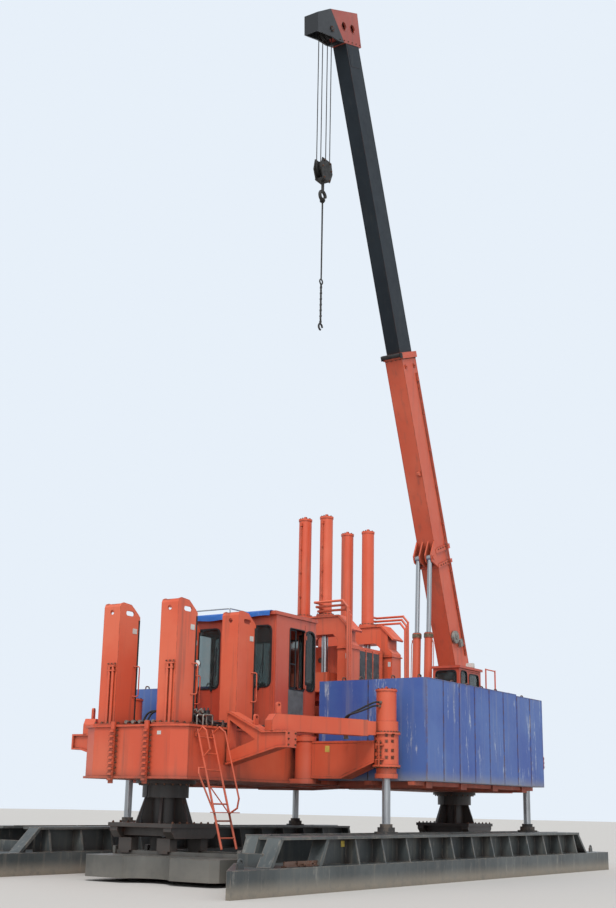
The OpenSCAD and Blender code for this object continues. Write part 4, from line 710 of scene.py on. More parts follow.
rod_chrome = polished("rod_chrome")
leg_chrome = polished("leg_chrome", foot=1.050)
dress(leg_chrome, "near_legs", "far_legs")
leg_x, leg_y = 3.25, 3.20
spots, bm = [], bmesh.new()
for sx, sy in quarters:
    x, y = sx * leg_x, sy * leg_y
    for z, radius, count, facing, start in ((2.73, 0.251, 24, up, 0.13), (2.09, 0.251, 24, down, 0.13),
                                            (3.55, 0.165, 10, up, 0.0)):
        spots += ring((x, y, z), radius, count, facing, start)
    for a in map(math.radians, (-60, -30, 30, 60)):
        out = Vector((sx * math.cos(a), math.sin(a), 0))
        spots += [(Vector((x, y, z)) + out * 0.2195, out) for z in (2.26, 2.39, 2.561, 2.67)]
    for z in (2.16, 2.30, 2.36, 2.43, 2.54):
        spots += [((x + sx * 0.262, y + side * 0.014, z), (0, side, 0)) for side in both]
    # Port block on the barrel's inner side, its pipe and the pipe's clips
    wall, end = x - sx * 0.19, x - sx * 0.245
    add_block(bm, (wall, y, 3.40), (0.07, 0.07, 0.08))
    add_tube(bm, [(wall, y, 3.40), (end, y, 3.40), (end, y, 3.02), (end, y - sy * 0.20, 2.99)], 0.014, 0.05)
    for z in (3.10, 3.28):
        add_block(bm, (x - sx * 0.225, y, z + 0.015), (0.08, 0.044, 0.03), 0.003)
    add_drum(bm, (x, y, 3.565), up, 0.05, 0.03, 20)
    add_drum(bm, (x, y, 3.59), up, 0.026, 0.03, 6, 0.002)
bolts("leg_bolts", spots, 0.028, 7)
piece("leg_ports", bm, orange_leg)
# A pair of hoses climbs over each tie beam to the upper port of its cylinder
hoses("leg_hoses", [[(sx * (3.62 - dx), sy * 2.50, 2.62), (sx * (3.86 - dx), sy * 2.62, 3.02),
                     (sx * (3.78 - dx), sy * 2.92, 3.10 + dx), (sx * 3.62, sy * (3.14 + 0.3 * dx), 3.22 + dx),
                     (sx * 3.448, sy * (3.17 + 0.3 * dx), 3.22 + dx)]
                    for sx, sy in quarters for dx in (0.0, 0.07)], 0.019, 0.2)
# Blank plates on the arms
bm = bmesh.new()
for s in both:
    add_block(bm, (s * 3.4512, s * 1.99, 2.43), (0.0026, 0.10, 0.12), 0.0008)
plate_yellow = plain("plate_yellow", (0.66, 0.50, 0.10), 0.45, shade=0.25)
piece("arm_plates", bm, plate_yellow)
# Caps and keeper bolts of the hinge tubes, beads of weld along the arms
bm = bmesh.new()
for sx, sy in quarters:
    x, y = sx * 3.4, sy * 1.44
    add_drum(bm, (x, y, 2.685), up, 0.135, 0.03, 28, 0.005)
    add_drum(bm, (x, y, 2.708), up, 0.05, 0.02, 6, 0.003)
    for x in (sx * 3.09, sx * 3.45):
        add_bead(bm, (x, sy * 1.66, 2.54), (x, sy * 2.98, 2.54))
        add_tube(bm, [(x, sy * 1.66, 1.912), (x, sy * 2.28, 1.912), (x, sy * 2.95, 2.18)], 0.009, 0.05, 6)
piece("hinge_caps", bm, orange_arm)

# Long shoes
# Welded pontoons of thick plate, dark grey, scraped and muddy along the sole. Beads of weld
# run along the sole and up each rib, and wear strips lie on the rims.
# The pale colour given as rust also fills the knocked edges of the rims and sole top: partly bare worn steel,
# partly a painted highlight
shoe_paint = painted("shoe_grey", (0.040, 0.048, 0.050), (0.105, 0.118, 0.116), 0.85, 0.3, 0.3, 1.0,
                     0.06, 0.36, 1.0, dirt=(0.30, 0.26, 0.205), rust=(0.20, 0.17, 0.14), bump=0.02,
                     scrapes=0.55, scrape_colour=(0.27, 0.26, 0.23), edge_size=0.03)
dress(shoe_paint, "near_long_shoe", "far_long_shoe")
shoe_places = {"near_long_shoe": Matrix.Translation((-1.5, -leg_y, 0)),
               "far_long_shoe": Matrix.Translation((-0.5, leg_y, 0)) @ Matrix.Rotation(math.pi, 4, "Z")}
for body, place in shoe_places.items():
    beads, strips = bmesh.new(), bmesh.new()
    for side in both:
        web = side * 0.503
        add_bead(beads, (-4.85 if side < 0 else -5.20, web, 0.412), (5.95, web, 0.412), 0.011)
        for rib_x in (-4.01 + 0.889 * k for k in range(12)):
            for x in (rib_x, rib_x + 0.04):
                add_bead(beads, (x, web, 0.44), (x, web, 0.82))
                add_bead(beads, (x, side * 0.52, 0.413), (x, side * 0.76, 0.413))
        for x in (-5.1 + 1.82 * k for k in range(6)):
            add_box(strips, (x, side * 0.30 - 0.018, 0.868), (x + 1.76, side * 0.30 + 0.018, 0.880), 0.003)
    for x in (-6.555, -6.465, -5.15, -5.06, 6.48, 6.57):
        add_bead(beads, (x, -0.70, 0.415), (x, -0.46, 0.415), 0.010)
    # Towing eyes at both ends of the sole
    for x, y in ((7.45, -0.45), (7.45, 0.45), (-7.2, -0.60)):
        add_block(strips, (x, y, 0.45), (0.18, 0.036, 0.10), 0.01)
        angles = [a * math.pi / 6 for a in range(-1, 8)]
        add_tube(strips, [(x + 0.055 * math.cos(a), y, 0.50 + 0.055 * math.sin(a)) for a in angles],
                 0.017, 0.02, 8, 2)
    piece(body + "_beads", beads, shoe_paint, body, place=place)
    piece(body + "_strips", strips, shoe_paint, body, place=place)
bm = bmesh.new()
add_box(bm, (-5.67, -3.7055, 0.69), (-5.56, -3.6995, 0.79), 0.001)
piece("shoe_plate", bm, plate_yellow, "near_long_shoe")


def add_link(bm, place, outline, radius, bend, steps=1):
    """A closed loop of round bar through the outline's points."""
    add_tube(bm, [place @ Vector(point) for point in outline], radius, bend, 6, steps)


# Rusty chain and scrap lying in the open bay of the near shoe
rusty = painted("rusty_scrap", (0.085, 0.042, 0.026), (0.15, 0.075, 0.045), 0.8, 0.8, 0.2, 0.5, 0.3, 0.5, 0.4,
                dirt=(0.09, 0.05, 0.03))
bm = bmesh.new()
oval = [(0.038 * math.cos(t * math.pi / 5), 0.022 * math.sin(t * math.pi / 5), 0) for t in range(11)]
for i in range(16):
    a = 0.5 * i
    spot = (-7.30 + 0.03 * i + 0.05 * math.sin(a), -3.86 + 0.06 * math.sin(1.3 * a), 0.425 + 0.012 * (i % 2))
    turn_to = Matrix.Rotation(a, 4, "Z") @ Matrix.Rotation(math.pi / 2 * (i % 2), 4, "X")
    add_link(bm, Matrix.Translation(spot) @ turn_to, oval, 0.009, 0.01)
for x, y, long, angle in ((-7.45, -3.86, 0.42, 0.12), (-7.05, -3.87, 0.36, -0.1), (-6.75, -3.85, 0.30, 0.15)):
    turn_to = Matrix.Translation((x, y, 0.44)) @ Matrix.Rotation(angle, 4, "Z")
    for wide, low, high in ((0.05, -0.028, -0.010), (0.01, -0.03, 0.06)):
        add_box(bm, (-long / 2, -wide, low), (long / 2, wide, high), 0.004, turn_to)
piece("shoe_scrap", bm, rusty, "near_long_shoe")

# Short shoes and carriages
# Thick plates with rails that the bogie carriages roll on. The turning rings are bolted up
# from below, and mud has dried on every ledge.
step_paint = painted("step_grey", (0.055, 0.058, 0.055), (0.15, 0.145, 0.13), 0.9, 0.3, 0.2, 0.8,
                     0.1, 0.6, 0.5, dirt=(0.22, 0.20, 0.17), rust=(0.12, 0.08, 0.055), bump=0.02)
dress(step_paint, "front_short_shoe", "rear_short_shoe")
carriage_paint = painted("carriage_dark", (0.030, 0.028, 0.027), (0.06, 0.05, 0.045), 0.8, 0.5, 0.3, 0.6,
                         0.5, 1.2, 0.35, dirt=(0.11, 0.09, 0.075))
dress(carriage_paint, "front_carriage", "rear_carriage")
for name, x in (("front", -5.9), ("rear", 5.9)):
    spots, bm = ring((x, 0, 1.70), 0.49, 20, down), bmesh.new()
    for side in both:
        spots += row((x - 0.62, side * 0.70, 1.0), (x + 0.62, side * 0.70, 1.0), 7)
        # Grease line from the plate up to the turning ring
        foot, head = x + side * 0.60, x + side * 0.46
        add_tube(bm, [(foot, 0.05, 1.03), (foot, 0.05, 1.12), (head, 0.05, 1.50), (head, 0.05, 1.66)],
                 0.011, 0.06, 8)
        add_box(bm, (foot - 0.03, 0.02, 0.999), (foot + 0.03, 0.08, 1.06))
    bolts(name + "_carriage_bolts", spots, 0.036, 37, name + "_carriage")
    piece(name + "_grease_lines", bm, hose_rubber, name + "_carriage")

# Counterweights
# Slabs of steel plate filled with ballast, set side by side on the cross beams. The blue
# paint is scraped pale where slings and neighbours have rubbed it. Each slab has eyes.
weight_blue = painted("weight_blue", (0.035, 0.085, 0.33), (0.075, 0.15, 0.40), 0.9, 0.22, 0.35, 1.0,
                      1.85, 2.15, 0.7, dirt=(0.30, 0.29, 0.25), rust=(0.16, 0.075, 0.04), bump=0.02,
                      scrapes=0.9, scrape_colour=(0.48, 0.52, 0.58))
dress(weight_blue, "counterweights")
eyes, seams = bmesh.new(), bmesh.new()
for side in both:
    for i in range(8):
        top = 3.81 if i < 6 else 3.78
        x0, x1 = -2.8 + 0.7 * i, -2.8 + 0.7 * i + 0.688
        middle = (x0 + x1) / 2
        for y in (1.75, 2.15, 2.90, 3.50):
            add_grip(eyes, (middle - 0.06, side * y, top - 0.004), (middle + 0.06, side * y, top - 0.004),
                     (0, 0, 0.094), 0.014, 0.05, 8)
        # Closing strips round the edge of the outer face
        wall = side * 3.84
        for x in (x0 + 0.012, x1 - 0.012):
            add_bead(seams, (x, wall, 1.87), (x, wall, top - 0.02), 0.006)
        for z in (1.865, top - 0.012):
            add_bead(seams, (x0 + 0.02, wall, z), (x1 - 0.02, wall, z), 0.006)
for y in (1.38, 2.51, 2.54, 3.82):
    for side in both:
        for x in (-2.8, 2.788):
            add_bead(seams, (x, side * y, 1.87), (x, side * y, 3.76), 0.006)
piece("weight_eyes", eyes, bolt_steel)
piece("weight_seams", seams, weight_blue)

# Ladder and rails
# Bent and welded round bar, painted with the body.
dress(orange_leg, "ladder", "deck_rails")

# Cab
# Thin painted sheet over a frame, with rubber-framed windows, an open side window over a grey
# panel, a handrail and a door with its own handle.
cab_paint = painted("cab_orange", (0.50, 0.07, 0.035), (0.58, 0.12, 0.07), 0.6, 0.25, 0.5, 0.7,
                    2.7, 3.3, 0.35)
dress(cab_paint, "cab_shell", "cab_roof", "cab_door")
rubber_black = plain("window_rubber", (0.012, 0.012, 0.013), 0.5, scale=6.0, bump=0.0006)


def add_window_frame(bm, low, high, axis, wall, width=0.03, bend=0.10):
    """A rubber profile with round corners round an opening. Low and high are (u, z) corners, axis
    is 0 for a wall across X or 1 for a wall across Y, and wall holds its two faces."""
    (u0, z0), (u1, z1) = low, high
    inner, outer, proud = min(wall), max(wall), 0.012
    bend = min(bend, 0.45 * (u1 - u0))

    def at(u, z, depth):
        return bm.verts.new((depth, u, z) if axis == 0 else (u, depth, z))

    outline, rings = [], []
    for cu, cz, start in ((u1 - bend, z1 - bend, 0), (u0 + bend, z1 - bend, 90),
                          (u0 + bend, z0 + bend, 180), (u1 - bend, z0 + bend, 270)):
        for a in (math.radians(start + 15 * i) for i in range(7)):
            edge, lap = ((cu + reach * math.cos(a), cz + reach * math.sin(a))
                         for reach in (bend, bend + width))
            outline.append(edge)
            rings.append([at(*edge, inner - proud), at(*edge, outer + proud), at(*lap, outer + proud),
                          at(*lap, inner - proud)])
    for one, two in zip(rings, rings[1:] + rings[:1]):
        for j in range(4):
            bm.faces.new((one[j], one[(j + 1) % 4], two[(j + 1) % 4], two[j]))
    # Web that fills each square corner of the opening behind the round one
    for k, square in enumerate(((u1, z1), (u0, z1), (u0, z0), (u1, z0))):
        for depth in (inner + 0.004, outer - 0.004):
            fan = [at(u, z, depth) for u, z in [square] + outline[7 * k:7 * k + 7]]
            for one, two in zip(fan[1:], fan[2:]):
                bm.faces.new((fan[0], one, two))


# The cab's pieces are drawn from its front foot, in the middle
cab_place = Matrix.Translation((-4.15, 0, 2.72))
cab_deep, cab_half, cab_wall, cab_high = 1.45, 1.20, 0.05, 2.30
front_wall = (0, cab_wall)
bm = bmesh.new()
add_window_frame(bm, (0.21, 0.90), (0.79, 2.08), 0, front_wall)
add_window_frame(bm, (-1.07, 0.90), (-0.62, 2.08), 0, front_wall)
add_window_frame(bm, (-0.90, 1.00), (0.90, 1.95), 0, (cab_deep - cab_wall, cab_deep))
for side in both:
    wall = (side * cab_half, side * (cab_half - cab_wall))
    add_window_frame(bm, (1.08, 0.90), (1.39, 2.08), 1, wall, bend=0.12)
    add_window_frame(bm, (0.49, 0.88), (1.02, 2.08), 1, wall, 0.018, 0.03)
piece("cab_window_rubbers", bm, rubber_black, place=cab_place)
bm = bmesh.new()
add_window_frame(bm, (-0.416, 0.90), (0.022, 1.98), 0, front_wall, 0.025, 0.09)
piece("cab_door_rubber", bm, rubber_black, "cab_door", place=cab_place)
# Glass with a thin film of dust, for the fixed pane of the door too
pane_glass, tree, shader = new_finish("pane_glass")
film = shader_noise(tree, own_place(tree), 2.5, 5.0, 0.6)
tree.links.new(shader_mix(tree, shader_ramp(tree, film, 0.45, 0.85), (0.22, 0.27, 0.27), (0.30, 0.30, 0.28)),
               shader["Base Color"])
tree.links.new(shader_ramp(tree, film, 0.4, 0.8, 0.04, 0.2), shader["Roughness"])
shader["Transmission Weight"].default_value = 0.9
shader["IOR"].default_value = 1.3
dress(pane_glass, "cab_glass", "crane_cab_glass")
bm = bmesh.new()
add_box(bm, (0.021, -0.416, 0.90), (0.029, 0.022, 1.98), 0.002)
piece("cab_door_pane", bm, pane_glass, "cab_door", place=cab_place)
# Lock plate and handle of the door
bm = bmesh.new()
add_box(bm, (-0.008, -0.48, 0.70), (0.001, -0.41, 0.84), 0.003)
add_tube(bm, [(0, -0.45, 0.80), (-0.042, -0.45, 0.80), (-0.042, -0.45, 0.74), (-0.042, -0.34, 0.74)],
         0.009, 0.02)
piece("cab_door_handle", bm, lamp_black, "cab_door", place=cab_place)
# Grey lower panel under the open side window, with three keyholes
panel_grey = plain("panel_grey", (0.135, 0.14, 0.14), 0.5, scale=5.0)
bm = bmesh.new()
add_box(bm, (0.46, -cab_half - 0.007, 0.34), (1.0, -cab_half - 0.0005, 0.865), 0.002)
for z in (0.58, 0.64, 0.70):
    add_drum(bm, (0.92, -cab_half - 0.008, z), (0, -1, 0), 0.013, 0.006, 12, 0.001)
piece("cab_side_panel", bm, panel_grey, place=cab_place)
# Sash of the open side window, and its leaf, swung out on the hinges at its rear edge
bm = bmesh.new()
near_wall = -cab_half + 0.5 * cab_wall
for x in (0.525, 0.73):
    add_block(bm, (x, near_wall, 1.48), (0.028, 0.02, 1.18), 0.003)
for z in (0.902, 1.38, 2.058):
    add_block(bm, (0.6275, near_wall, z), (0.205, 0.018, 0.024), 0.003)
piece("cab_side_sash", bm, rubber_black, place=cab_place)
swing = Matrix.Translation((1.02, -cab_half - 0.012, 0)) @ Matrix.Rotation(math.radians(62), 4, "Z")
leaf, leaf_pane = bmesh.new(), bmesh.new()
for x in (0.014, 0.264):
    add_block(leaf, (x, 0, 1.48), (0.028, 0.024, 1.14), 0.004, swing)
for z in (0.924, 2.036):
    add_block(leaf, (0.139, 0, z), (0.278, 0.024, 0.028), 0.004, swing)
add_block(leaf_pane, (0.139, 0, 1.48), (0.226, 0.006, 1.09), 0, swing)
for z in (1.1, 1.85):
    add_drum(leaf, (1.02, -cab_half - 0.012, z), up, 0.011, 0.08, 12, 0.002)
piece("cab_side_leaf", leaf, cab_paint, place=cab_place)
piece("cab_side_leaf_pane", leaf_pane, pane_glass, place=cab_place)
# Wipers on the front panes
bm = bmesh.new()
for y in (-0.80, 0.37):
    add_drum(bm, (-0.012, y, 0.85), (1, 0, 0), 0.022, 0.03, 14, 0.003)
    add_tube(bm, [(-0.022, y, 0.85), (-0.028, y - 0.02, 1.08), (-0.024, y - 0.10, 1.46)], 0.006, 0.05, 8)
    add_block(bm, (-0.015, y - 0.101, 1.43), (0.014, 0.014, 0.58), 0.002)
piece("cab_wipers", bm, lamp_black, place=cab_place)
# Pale pipe rail on the roof
rail_grey = plain("rail_grey", (0.42, 0.43, 0.42), 0.45, 0.3, scale=6.0)
foot, head = cab_high + 0.065, cab_high + 0.24
bm = bmesh.new()
add_grip(bm, (0.25, 1.05, foot), (0.25, 0.15, foot), (0, 0, head - foot), 0.014, 0.06)
add_tube(bm, [(1.15, 0.15, foot), (1.15, 0.15, head), (0.25, 0.15, head)], 0.014, 0.06)
piece("cab_roof_rail", bm, rail_grey, place=cab_place)
# Drip rails round the roof, and the seams and hinges of the walls
bm = bmesh.new()
drip_z = cab_high + 0.015
for side in both:
    add_tube(bm, [(-0.075, side * 1.222, drip_z), (1.475, side * 1.222, drip_z)], 0.007, 0, 8)
    add_box(bm, (1.03, side * 1.2005, 0.08), (1.045, side * 1.206, 2.20), 0.001)
    for z in (0.95, 1.95):
        add_drum(bm, (1.07, side * 1.213, z), up, 0.012, 0.09, 12, 0.002)
add_tube(bm, [(-0.074, -1.22, drip_z), (-0.074, 1.22, drip_z)], 0.007, 0, 8)
for y in (-1.14, 0.14):
    add_box(bm, (-0.006, y - 0.008, 0.08), (-0.0005, y + 0.008, 2.2), 0.001)
piece("cab_drip_rail", bm, cab_paint, place=cab_place)

# Cab inside
# A sprung seat with two vinyl cushions, a sloping desk with levers and a small screen.
seat_vinyl = plain("seat_vinyl", (0.018, 0.018, 0.020), 0.55, scale=18.0, bump=0.0012)
trim_dark = plain("cab_trim", (0.025, 0.025, 0.027), 0.5)


def cushion(name, middle, size):
    """A crowned vinyl cushion with two sewn channels, pulled in along its seams."""
    bm = bmesh.new()
    bmesh.ops.create_cube(bm, size=1.0)
    bmesh.ops.subdivide_edges(bm, edges=bm.edges[:], cuts=12, use_grid_fill=True)
    thin = min(range(3), key=lambda i: size[i])
    across = [i for i in range(3) if i != thin]
    for v in bm.verts:
        u, w = (2 * v.co[i] for i in across)
        crown = (1 - u ** 4) * (1 - w ** 4)
        channel = 1 - 0.16 * math.exp(-((abs(u) - 0.34) / 0.05) ** 2)
        pull = 1 - 0.05 * abs(2 * v.co[thin]) ** 3
        shape = Vector(v.co[i] * size[i] for i in range(3))
        for i in across:
            shape[i] *= pull
        shape[thin] *= 0.62 + 0.38 * crown * channel
        v.co = shape + Vector(middle)
    obj = piece(name, bm, seat_vinyl, sharp=50, place=cab_place)


seat_x, seat_y = 0.75, -0.65
cushion("seat_cushion", (seat_x, seat_y, 0.425), (0.50, 0.50, 0.11))
cushion("seat_back", (0.965, seat_y, 0.77), (0.09, 0.46, 0.56))
bm = bmesh.new()
add_drum(bm, (seat_x, seat_y, 0.055), up, 0.20, 0.03, 28, 0.006)
add_drum(bm, (seat_x, seat_y, 0.19), up, 0.085, 0.26)
for i in range(5):
    add_drum(bm, (seat_x, seat_y, 0.12 + 0.045 * i), up, 0.098, 0.022, 24, 0.008)
add_box(bm, (0.56, -0.84, 0.325), (0.94, -0.46, 0.368), 0.01)
for y in (seat_y - 0.27, seat_y + 0.27):
    add_tube(bm, [(0.92, y, 0.35), (0.96, y, 0.58), (0.60, y, 0.60)], 0.016, 0.05)
desk = [(0.20, 0.043), (0.45, 0.043), (0.40, 0.685), (0.20, 0.835)]
near, far = ([bm.verts.new((x, y, z)) for x, z in desk] for y in (-1.098, -0.302))
bm.faces.new(near)
bm.faces.new(far)
for i in range(4):
    bm.faces.new((near[i], near[(i + 1) % 4], far[(i + 1) % 4], far[i]))
for y in (-0.95, -0.83, -0.62, -0.50):
    add_drum(bm, (0.30, y, 0.78), up, 0.034, 0.05, 16, 0.008)
    add_tube(bm, [(0.30, y, 0.79), (0.34, y, 0.90), (0.37, y, 0.98)], 0.007, 0.03, 8)
    add_drum(bm, (0.374, y, 0.995), (0.2, 0, 1), 0.017, 0.05, 14, 0.006)
add_box(bm, (0.21, -0.80, 0.84), (0.25, -0.62, 0.98))
piece("cab_desk_and_seat_base", bm, trim_dark, place=cab_place)
screen = plain("dial_face", (0.10, 0.13, 0.12), 0.15)
bm = bmesh.new()
add_box(bm, (0.251, -0.79, 0.855), (0.254, -0.63, 0.965), 0.001)
for i in range(3):
    add_drum(bm, (0.295, -0.98 + 0.05 * i, 0.773), (0.55, 0, 0.83), 0.018, 0.008, 16, 0.001)
cab_fittings = piece("cab_dials", bm, screen, place=cab_place)
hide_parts("cab_interior")

# Tarpaulin
# A blue sheet folded over the front edge of the roof. It lies in flat folds on the roof and
# falls loosely over the edge, creased across.
roof_low, roof_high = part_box("cab_roof")
tarp_low, tarp_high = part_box("cab_tarpaulin")


def drape(y0, y1, steps_y, steps_s):
    """The sheet's middle surface, from the roof over the rounded edge and down in front."""
    top = roof_high.z + 0.012
    back_x, edge_x, bend = tarp_high.x - 0.02, roof_low.x - 0.008, 0.035
    flat_run, fall = back_x - edge_x, top - (tarp_low.z + 0.01)
    grid = []
    for y in (y0 + (y1 - y0) * j / steps_y for j in range(steps_y + 1)):
        hang = fall * (0.86 + 0.14 * math.sin(2.3 * y + 0.6) * math.sin(5.1 * y))
        line = []
        for s in ((flat_run + fall) * i / steps_s for i in range(steps_s + 1)):
            fold = noise.noise(Vector((s * 2.2, y * 3.4, 1.7)))
            ripple = 0.5 + 0.5 * math.sin(9.0 * y + 3.0 * fold)
            if s < flat_run:
                nearness = s / flat_run
                swell = 0.0364 * ripple * (1 - nearness) * abs(math.sin(3.1 * y + 0.4))
                lift = 0.020 * max(0.0, fold) + swell
                line.append(Vector((back_x - s, y, top + lift * (1 - nearness ** 6))))
            else:
                dropped = (s - flat_run) / fall * hang
                turned = 1 - (1 - min(1.0, dropped / bend)) ** 2
                x = edge_x - bend * turned - 0.016 * ripple * min(1.0, dropped / 0.06)
                line.append(Vector((x, y, top - dropped)))
        grid.append(line)
    return grid


def thick_sheet(grid, thick):
    """A closed sheet of that thickness round a grid of points."""
    bm = bmesh.new()
    last_j, last_i = len(grid) - 1, len(grid[0]) - 1
    under, over = [], []
    for layer, half in ((under, -thick / 2), (over, thick / 2)):
        for j, line in enumerate(grid):
            layer.append([])
            for i, spot in enumerate(line):
                along = line[min(i + 1, last_i)] - line[max(i - 1, 0)]
                across = grid[min(j + 1, last_j)][i] - grid[max(j - 1, 0)][i]
                layer[j].append(bm.verts.new(spot + across.cross(along).normalized() * half))
    for j in range(last_j):
        for i in range(last_i):
            bm.faces.new((over[j][i], over[j][i + 1], over[j + 1][i + 1], over[j + 1][i]))
            bm.faces.new((under[j][i], under[j + 1][i], under[j + 1][i + 1], under[j][i + 1]))
    rim = [(j, i, j + 1, i) for j in range(last_j) for i in (0, last_i)]
    rim += [(j, i, j, i + 1) for i in range(last_i) for j in (0, last_j)]
    for j, i, to_j, to_i in rim:
        bm.faces.new((over[j][i], over[to_j][to_i], under[to_j][to_i], under[j][i]))
    return bm


# Woven plastic: a fine square weave, a soft shine and pale creases
tarp_blue, tree, shader = new_finish("tarp_blue")
place = own_place(tree)
crease = shader_noise(tree, place, 5.0, 7.0, 0.62, (0.6, 1.0, 0.6))
tree.links.new(shader_mix(tree, shader_ramp(tree, crease, 0.52, 0.72, 0.0, 0.35), (0.035, 0.19, 0.66),
                          (0.328, 0.452, 0.828)), shader["Base Color"])
shader["Roughness"].default_value = 0.42
threads = []
for direction in "XY":
    wave = tree.nodes.new("ShaderNodeTexWave")
    wave.bands_direction = direction
    wave.inputs["Scale"].default_value = 120.0
    tree.links.new(place, wave.inputs["Vector"])
    threads.append(times(tree, wave.outputs["Fac"], 0.12))
weave = shader_math(tree, "ADD", *threads)
shader_relief(tree, shader, shader_math(tree, "ADD", weave, crease), 0.02)
tarp_grid = drape(tarp_low.y + 0.03, tarp_high.y - 0.03, 90, 56)
tarpaulin = piece("tarpaulin_sheet", thick_sheet(tarp_grid, 0.008), tarp_blue, sharp=60)
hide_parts("cab_tarpaulin")

# Power pack
# A sheet-steel housing over the engine and pumps, with louvres, hinged doors, a fuel cap and
# an exhaust stack of grey pipe.
dress(orange_leg, "power_pack")
blades, doors = bmesh.new(), bmesh.new()
seam_in, seam_out, seam = 1.0495, 1.056, 0.006
for side in both:
    for i in range(8):
        tilt = Matrix.Translation((0, side * 1.037, 2.94 + 0.08 * i)) @ Matrix.Rotation(side * -0.6, 4, "X")
        add_box(blades, (1.665, -0.017, -0.003), (2.945, 0.017, 0.003), 0.001, tilt)
    for x in (1.47, 2.03, 2.59, 3.14):
        add_box(doors, (x - seam, side * seam_in, 2.74), (x + seam, side * seam_out, 3.64), 0.001)
    for z in (2.80, 3.60):
        add_box(doors, (1.47, side * seam_in, z - seam), (3.14, side * seam_out, z + seam), 0.001)
    for x in (1.485, 2.045, 2.605):
        for z in (2.90, 3.50):
            add_drum(doors, (x, side * 1.06, z), up, 0.011, 0.09, 12, 0.002)
piece("pack_doors", doors, orange_leg)
piece("pack_louvres", blades, rubber_black)
# Lids on the top, each with two grips
bm = bmesh.new()
for x0, x1, y0, y1 in ((1.55, 2.15, -0.85, 0.15), (2.25, 3.05, 0.10, 0.90), (2.50, 3.05, -0.85, -0.05)):
    add_box(bm, (x0, y0, 3.669), (x1, y1, 3.685), 0.005)
    middle = (x0 + x1) / 2
    for y in (y0 + 0.2, y1 - 0.2):
        add_grip(bm, (middle - 0.07, y, 3.683), (middle + 0.07, y, 3.683), (0, 0, 0.037), 0.007, 0.02, 8)
piece("pack_lids", bm, orange_leg)
# Door latches, the exhaust with its silencer, and the fuel cap
bm = bmesh.new()
for side in both:
    for x in (1.98, 2.54, 3.10):
        add_block(bm, (x, side * 1.054, 3.27), (0.036, 0.016, 0.10), 0.003)
        add_grip(bm, (x, side * 1.058, 3.30), (x, side * 1.058, 3.24), (0, side * 0.034, 0), 0.006, 0.015, 8)
stack_x, stack_y, cap_x, cap_y = 1.72, 0.35, 2.32, -0.55
add_tube(bm, [(stack_x, stack_y, 3.66), (stack_x, stack_y, 4.16), (stack_x, 0.28, 4.26)], 0.055, 0.08, 20)
add_drum(bm, (stack_x, stack_y, 3.86), up, 0.10, 0.30, 28, 0.02)
add_drum(bm, (cap_x, cap_y, 3.69), up, 0.06, 0.05, 24, 0.008)
add_drum(bm, (cap_x, cap_y, 3.725), up, 0.045, 0.03, 8)
piece("pack_fittings", bm, valve_grey)

# Press tower
# Two portals hold four long cylinders upright. Bolted collars clamp the barrels, thin pipes
# run along them, and dark covers close the sides of the clamp box.
dress(orange_column, "press_portals", "press_cylinders", "clamp_box")
dress(rod_chrome, "press_rods")
jaw_steel = plain("jaw_steel", (0.16, 0.14, 0.12), 0.5, 0.7)
dress(jaw_steel, "jaw_front", "jaw_rear")
spots, bm, reach = [], bmesh.new(), 0.172
for sx, sy in quarters:
    x, y, out = sx * 0.93, sy * 0.29, sx * reach
    spots += ring((x, y, 5.49), 0.178, 14, start=0.2) + ring((x, y, 7.74), 0.115, 8)
    add_block(bm, (x + 0.83 * out, y, 7.585), (0.46 * reach, 0.06, 0.07))
    add_tube(bm, [(x + 0.9 * out, y, 7.56), (x + out, y, 7.50), (x + out, y, 5.52)], 0.012, 0.05)
    for z in (5.9125, 6.4625, 7.0125):
        add_block(bm, (x + 0.96 * out, y, z), (0.32 * reach, 0.04, 0.025), 0.003)
bolts("press_bolts", spots, 0.030, 11)
piece("press_pipes", bm, orange_leg)
covers, fittings, plates = bmesh.new(), bmesh.new(), bmesh.new()
for side in both:
    for x in (-0.45, -0.15, 0.15):
        add_box(covers, (x + 0.022, side * 0.884, 3.72), (x + 0.278, side * 0.893, 4.72), 0.003)
        for z in (3.86, 4.58):
            add_drum(fittings, (x + 0.04, side * 0.894, z), up, 0.007, 0.07, 10, 0.001)
        handle = ((0.892, 4.27), (0.899, 4.26), (0.899, 4.17), (0.892, 4.16))
        add_tube(fittings, [(x + 0.23, side * y, z) for y, z in handle], 0.005, 0.006, 8)
    for x in (-1.14, 0.72):
        add_block(plates, (x - 0.00115, side, 4.525), (0.0033, 0.07, 0.11), 0.0008)
cover_grey = plain("cover_grey", (0.075, 0.078, 0.08), 0.55, 0.2, scale=5.0)
piece("clamp_covers", covers, cover_grey, "clamp")
piece("clamp_handles", fittings, fitting_steel, "clamp")
piece("portal_plates", plates, plate_white)

# Crane
# A small slewing crane on a bolted ring. Its cab is sheet steel with rubber-framed windows.
dress(orange_leg, "crane_pedestal", "crane_deck")
dress(cab_paint, "crane_cab", "crane_door")
winch_grey = plain("winch_grey", (0.06, 0.055, 0.05), 0.5, 0.5)
dress(winch_grey, "winch")
bolts("slewing_ring_bolts", ring((5.2, 0, 3.06), 0.76, 24, down, math.radians(7.5)), 0.036, 13)
side_wall = (-1.25, -1.21)
bm = bmesh.new()
add_window_frame(bm, (-1.16, 3.90), (-0.61, 4.67), 0, (3.78, 3.82), 0.022, 0.08)
add_window_frame(bm, (-1.16, 4.00), (-0.61, 4.67), 0, (4.96, 5.00), 0.022, 0.08)
add_window_frame(bm, (3.88, 3.90), (4.20, 4.67), 1, side_wall, 0.022, 0.08)
piece("crane_cab_rubbers", bm, rubber_black, "crane")
bm = bmesh.new()
add_window_frame(bm, (4.344, 3.90), (4.852, 4.63), 1, side_wall, 0.02, 0.08)
piece("crane_door_rubber", bm, rubber_black, "crane_door")
bm = bmesh.new()
add_box(bm, (4.345, -1.233, 3.901), (4.851, -1.227, 4.629), 0.001)
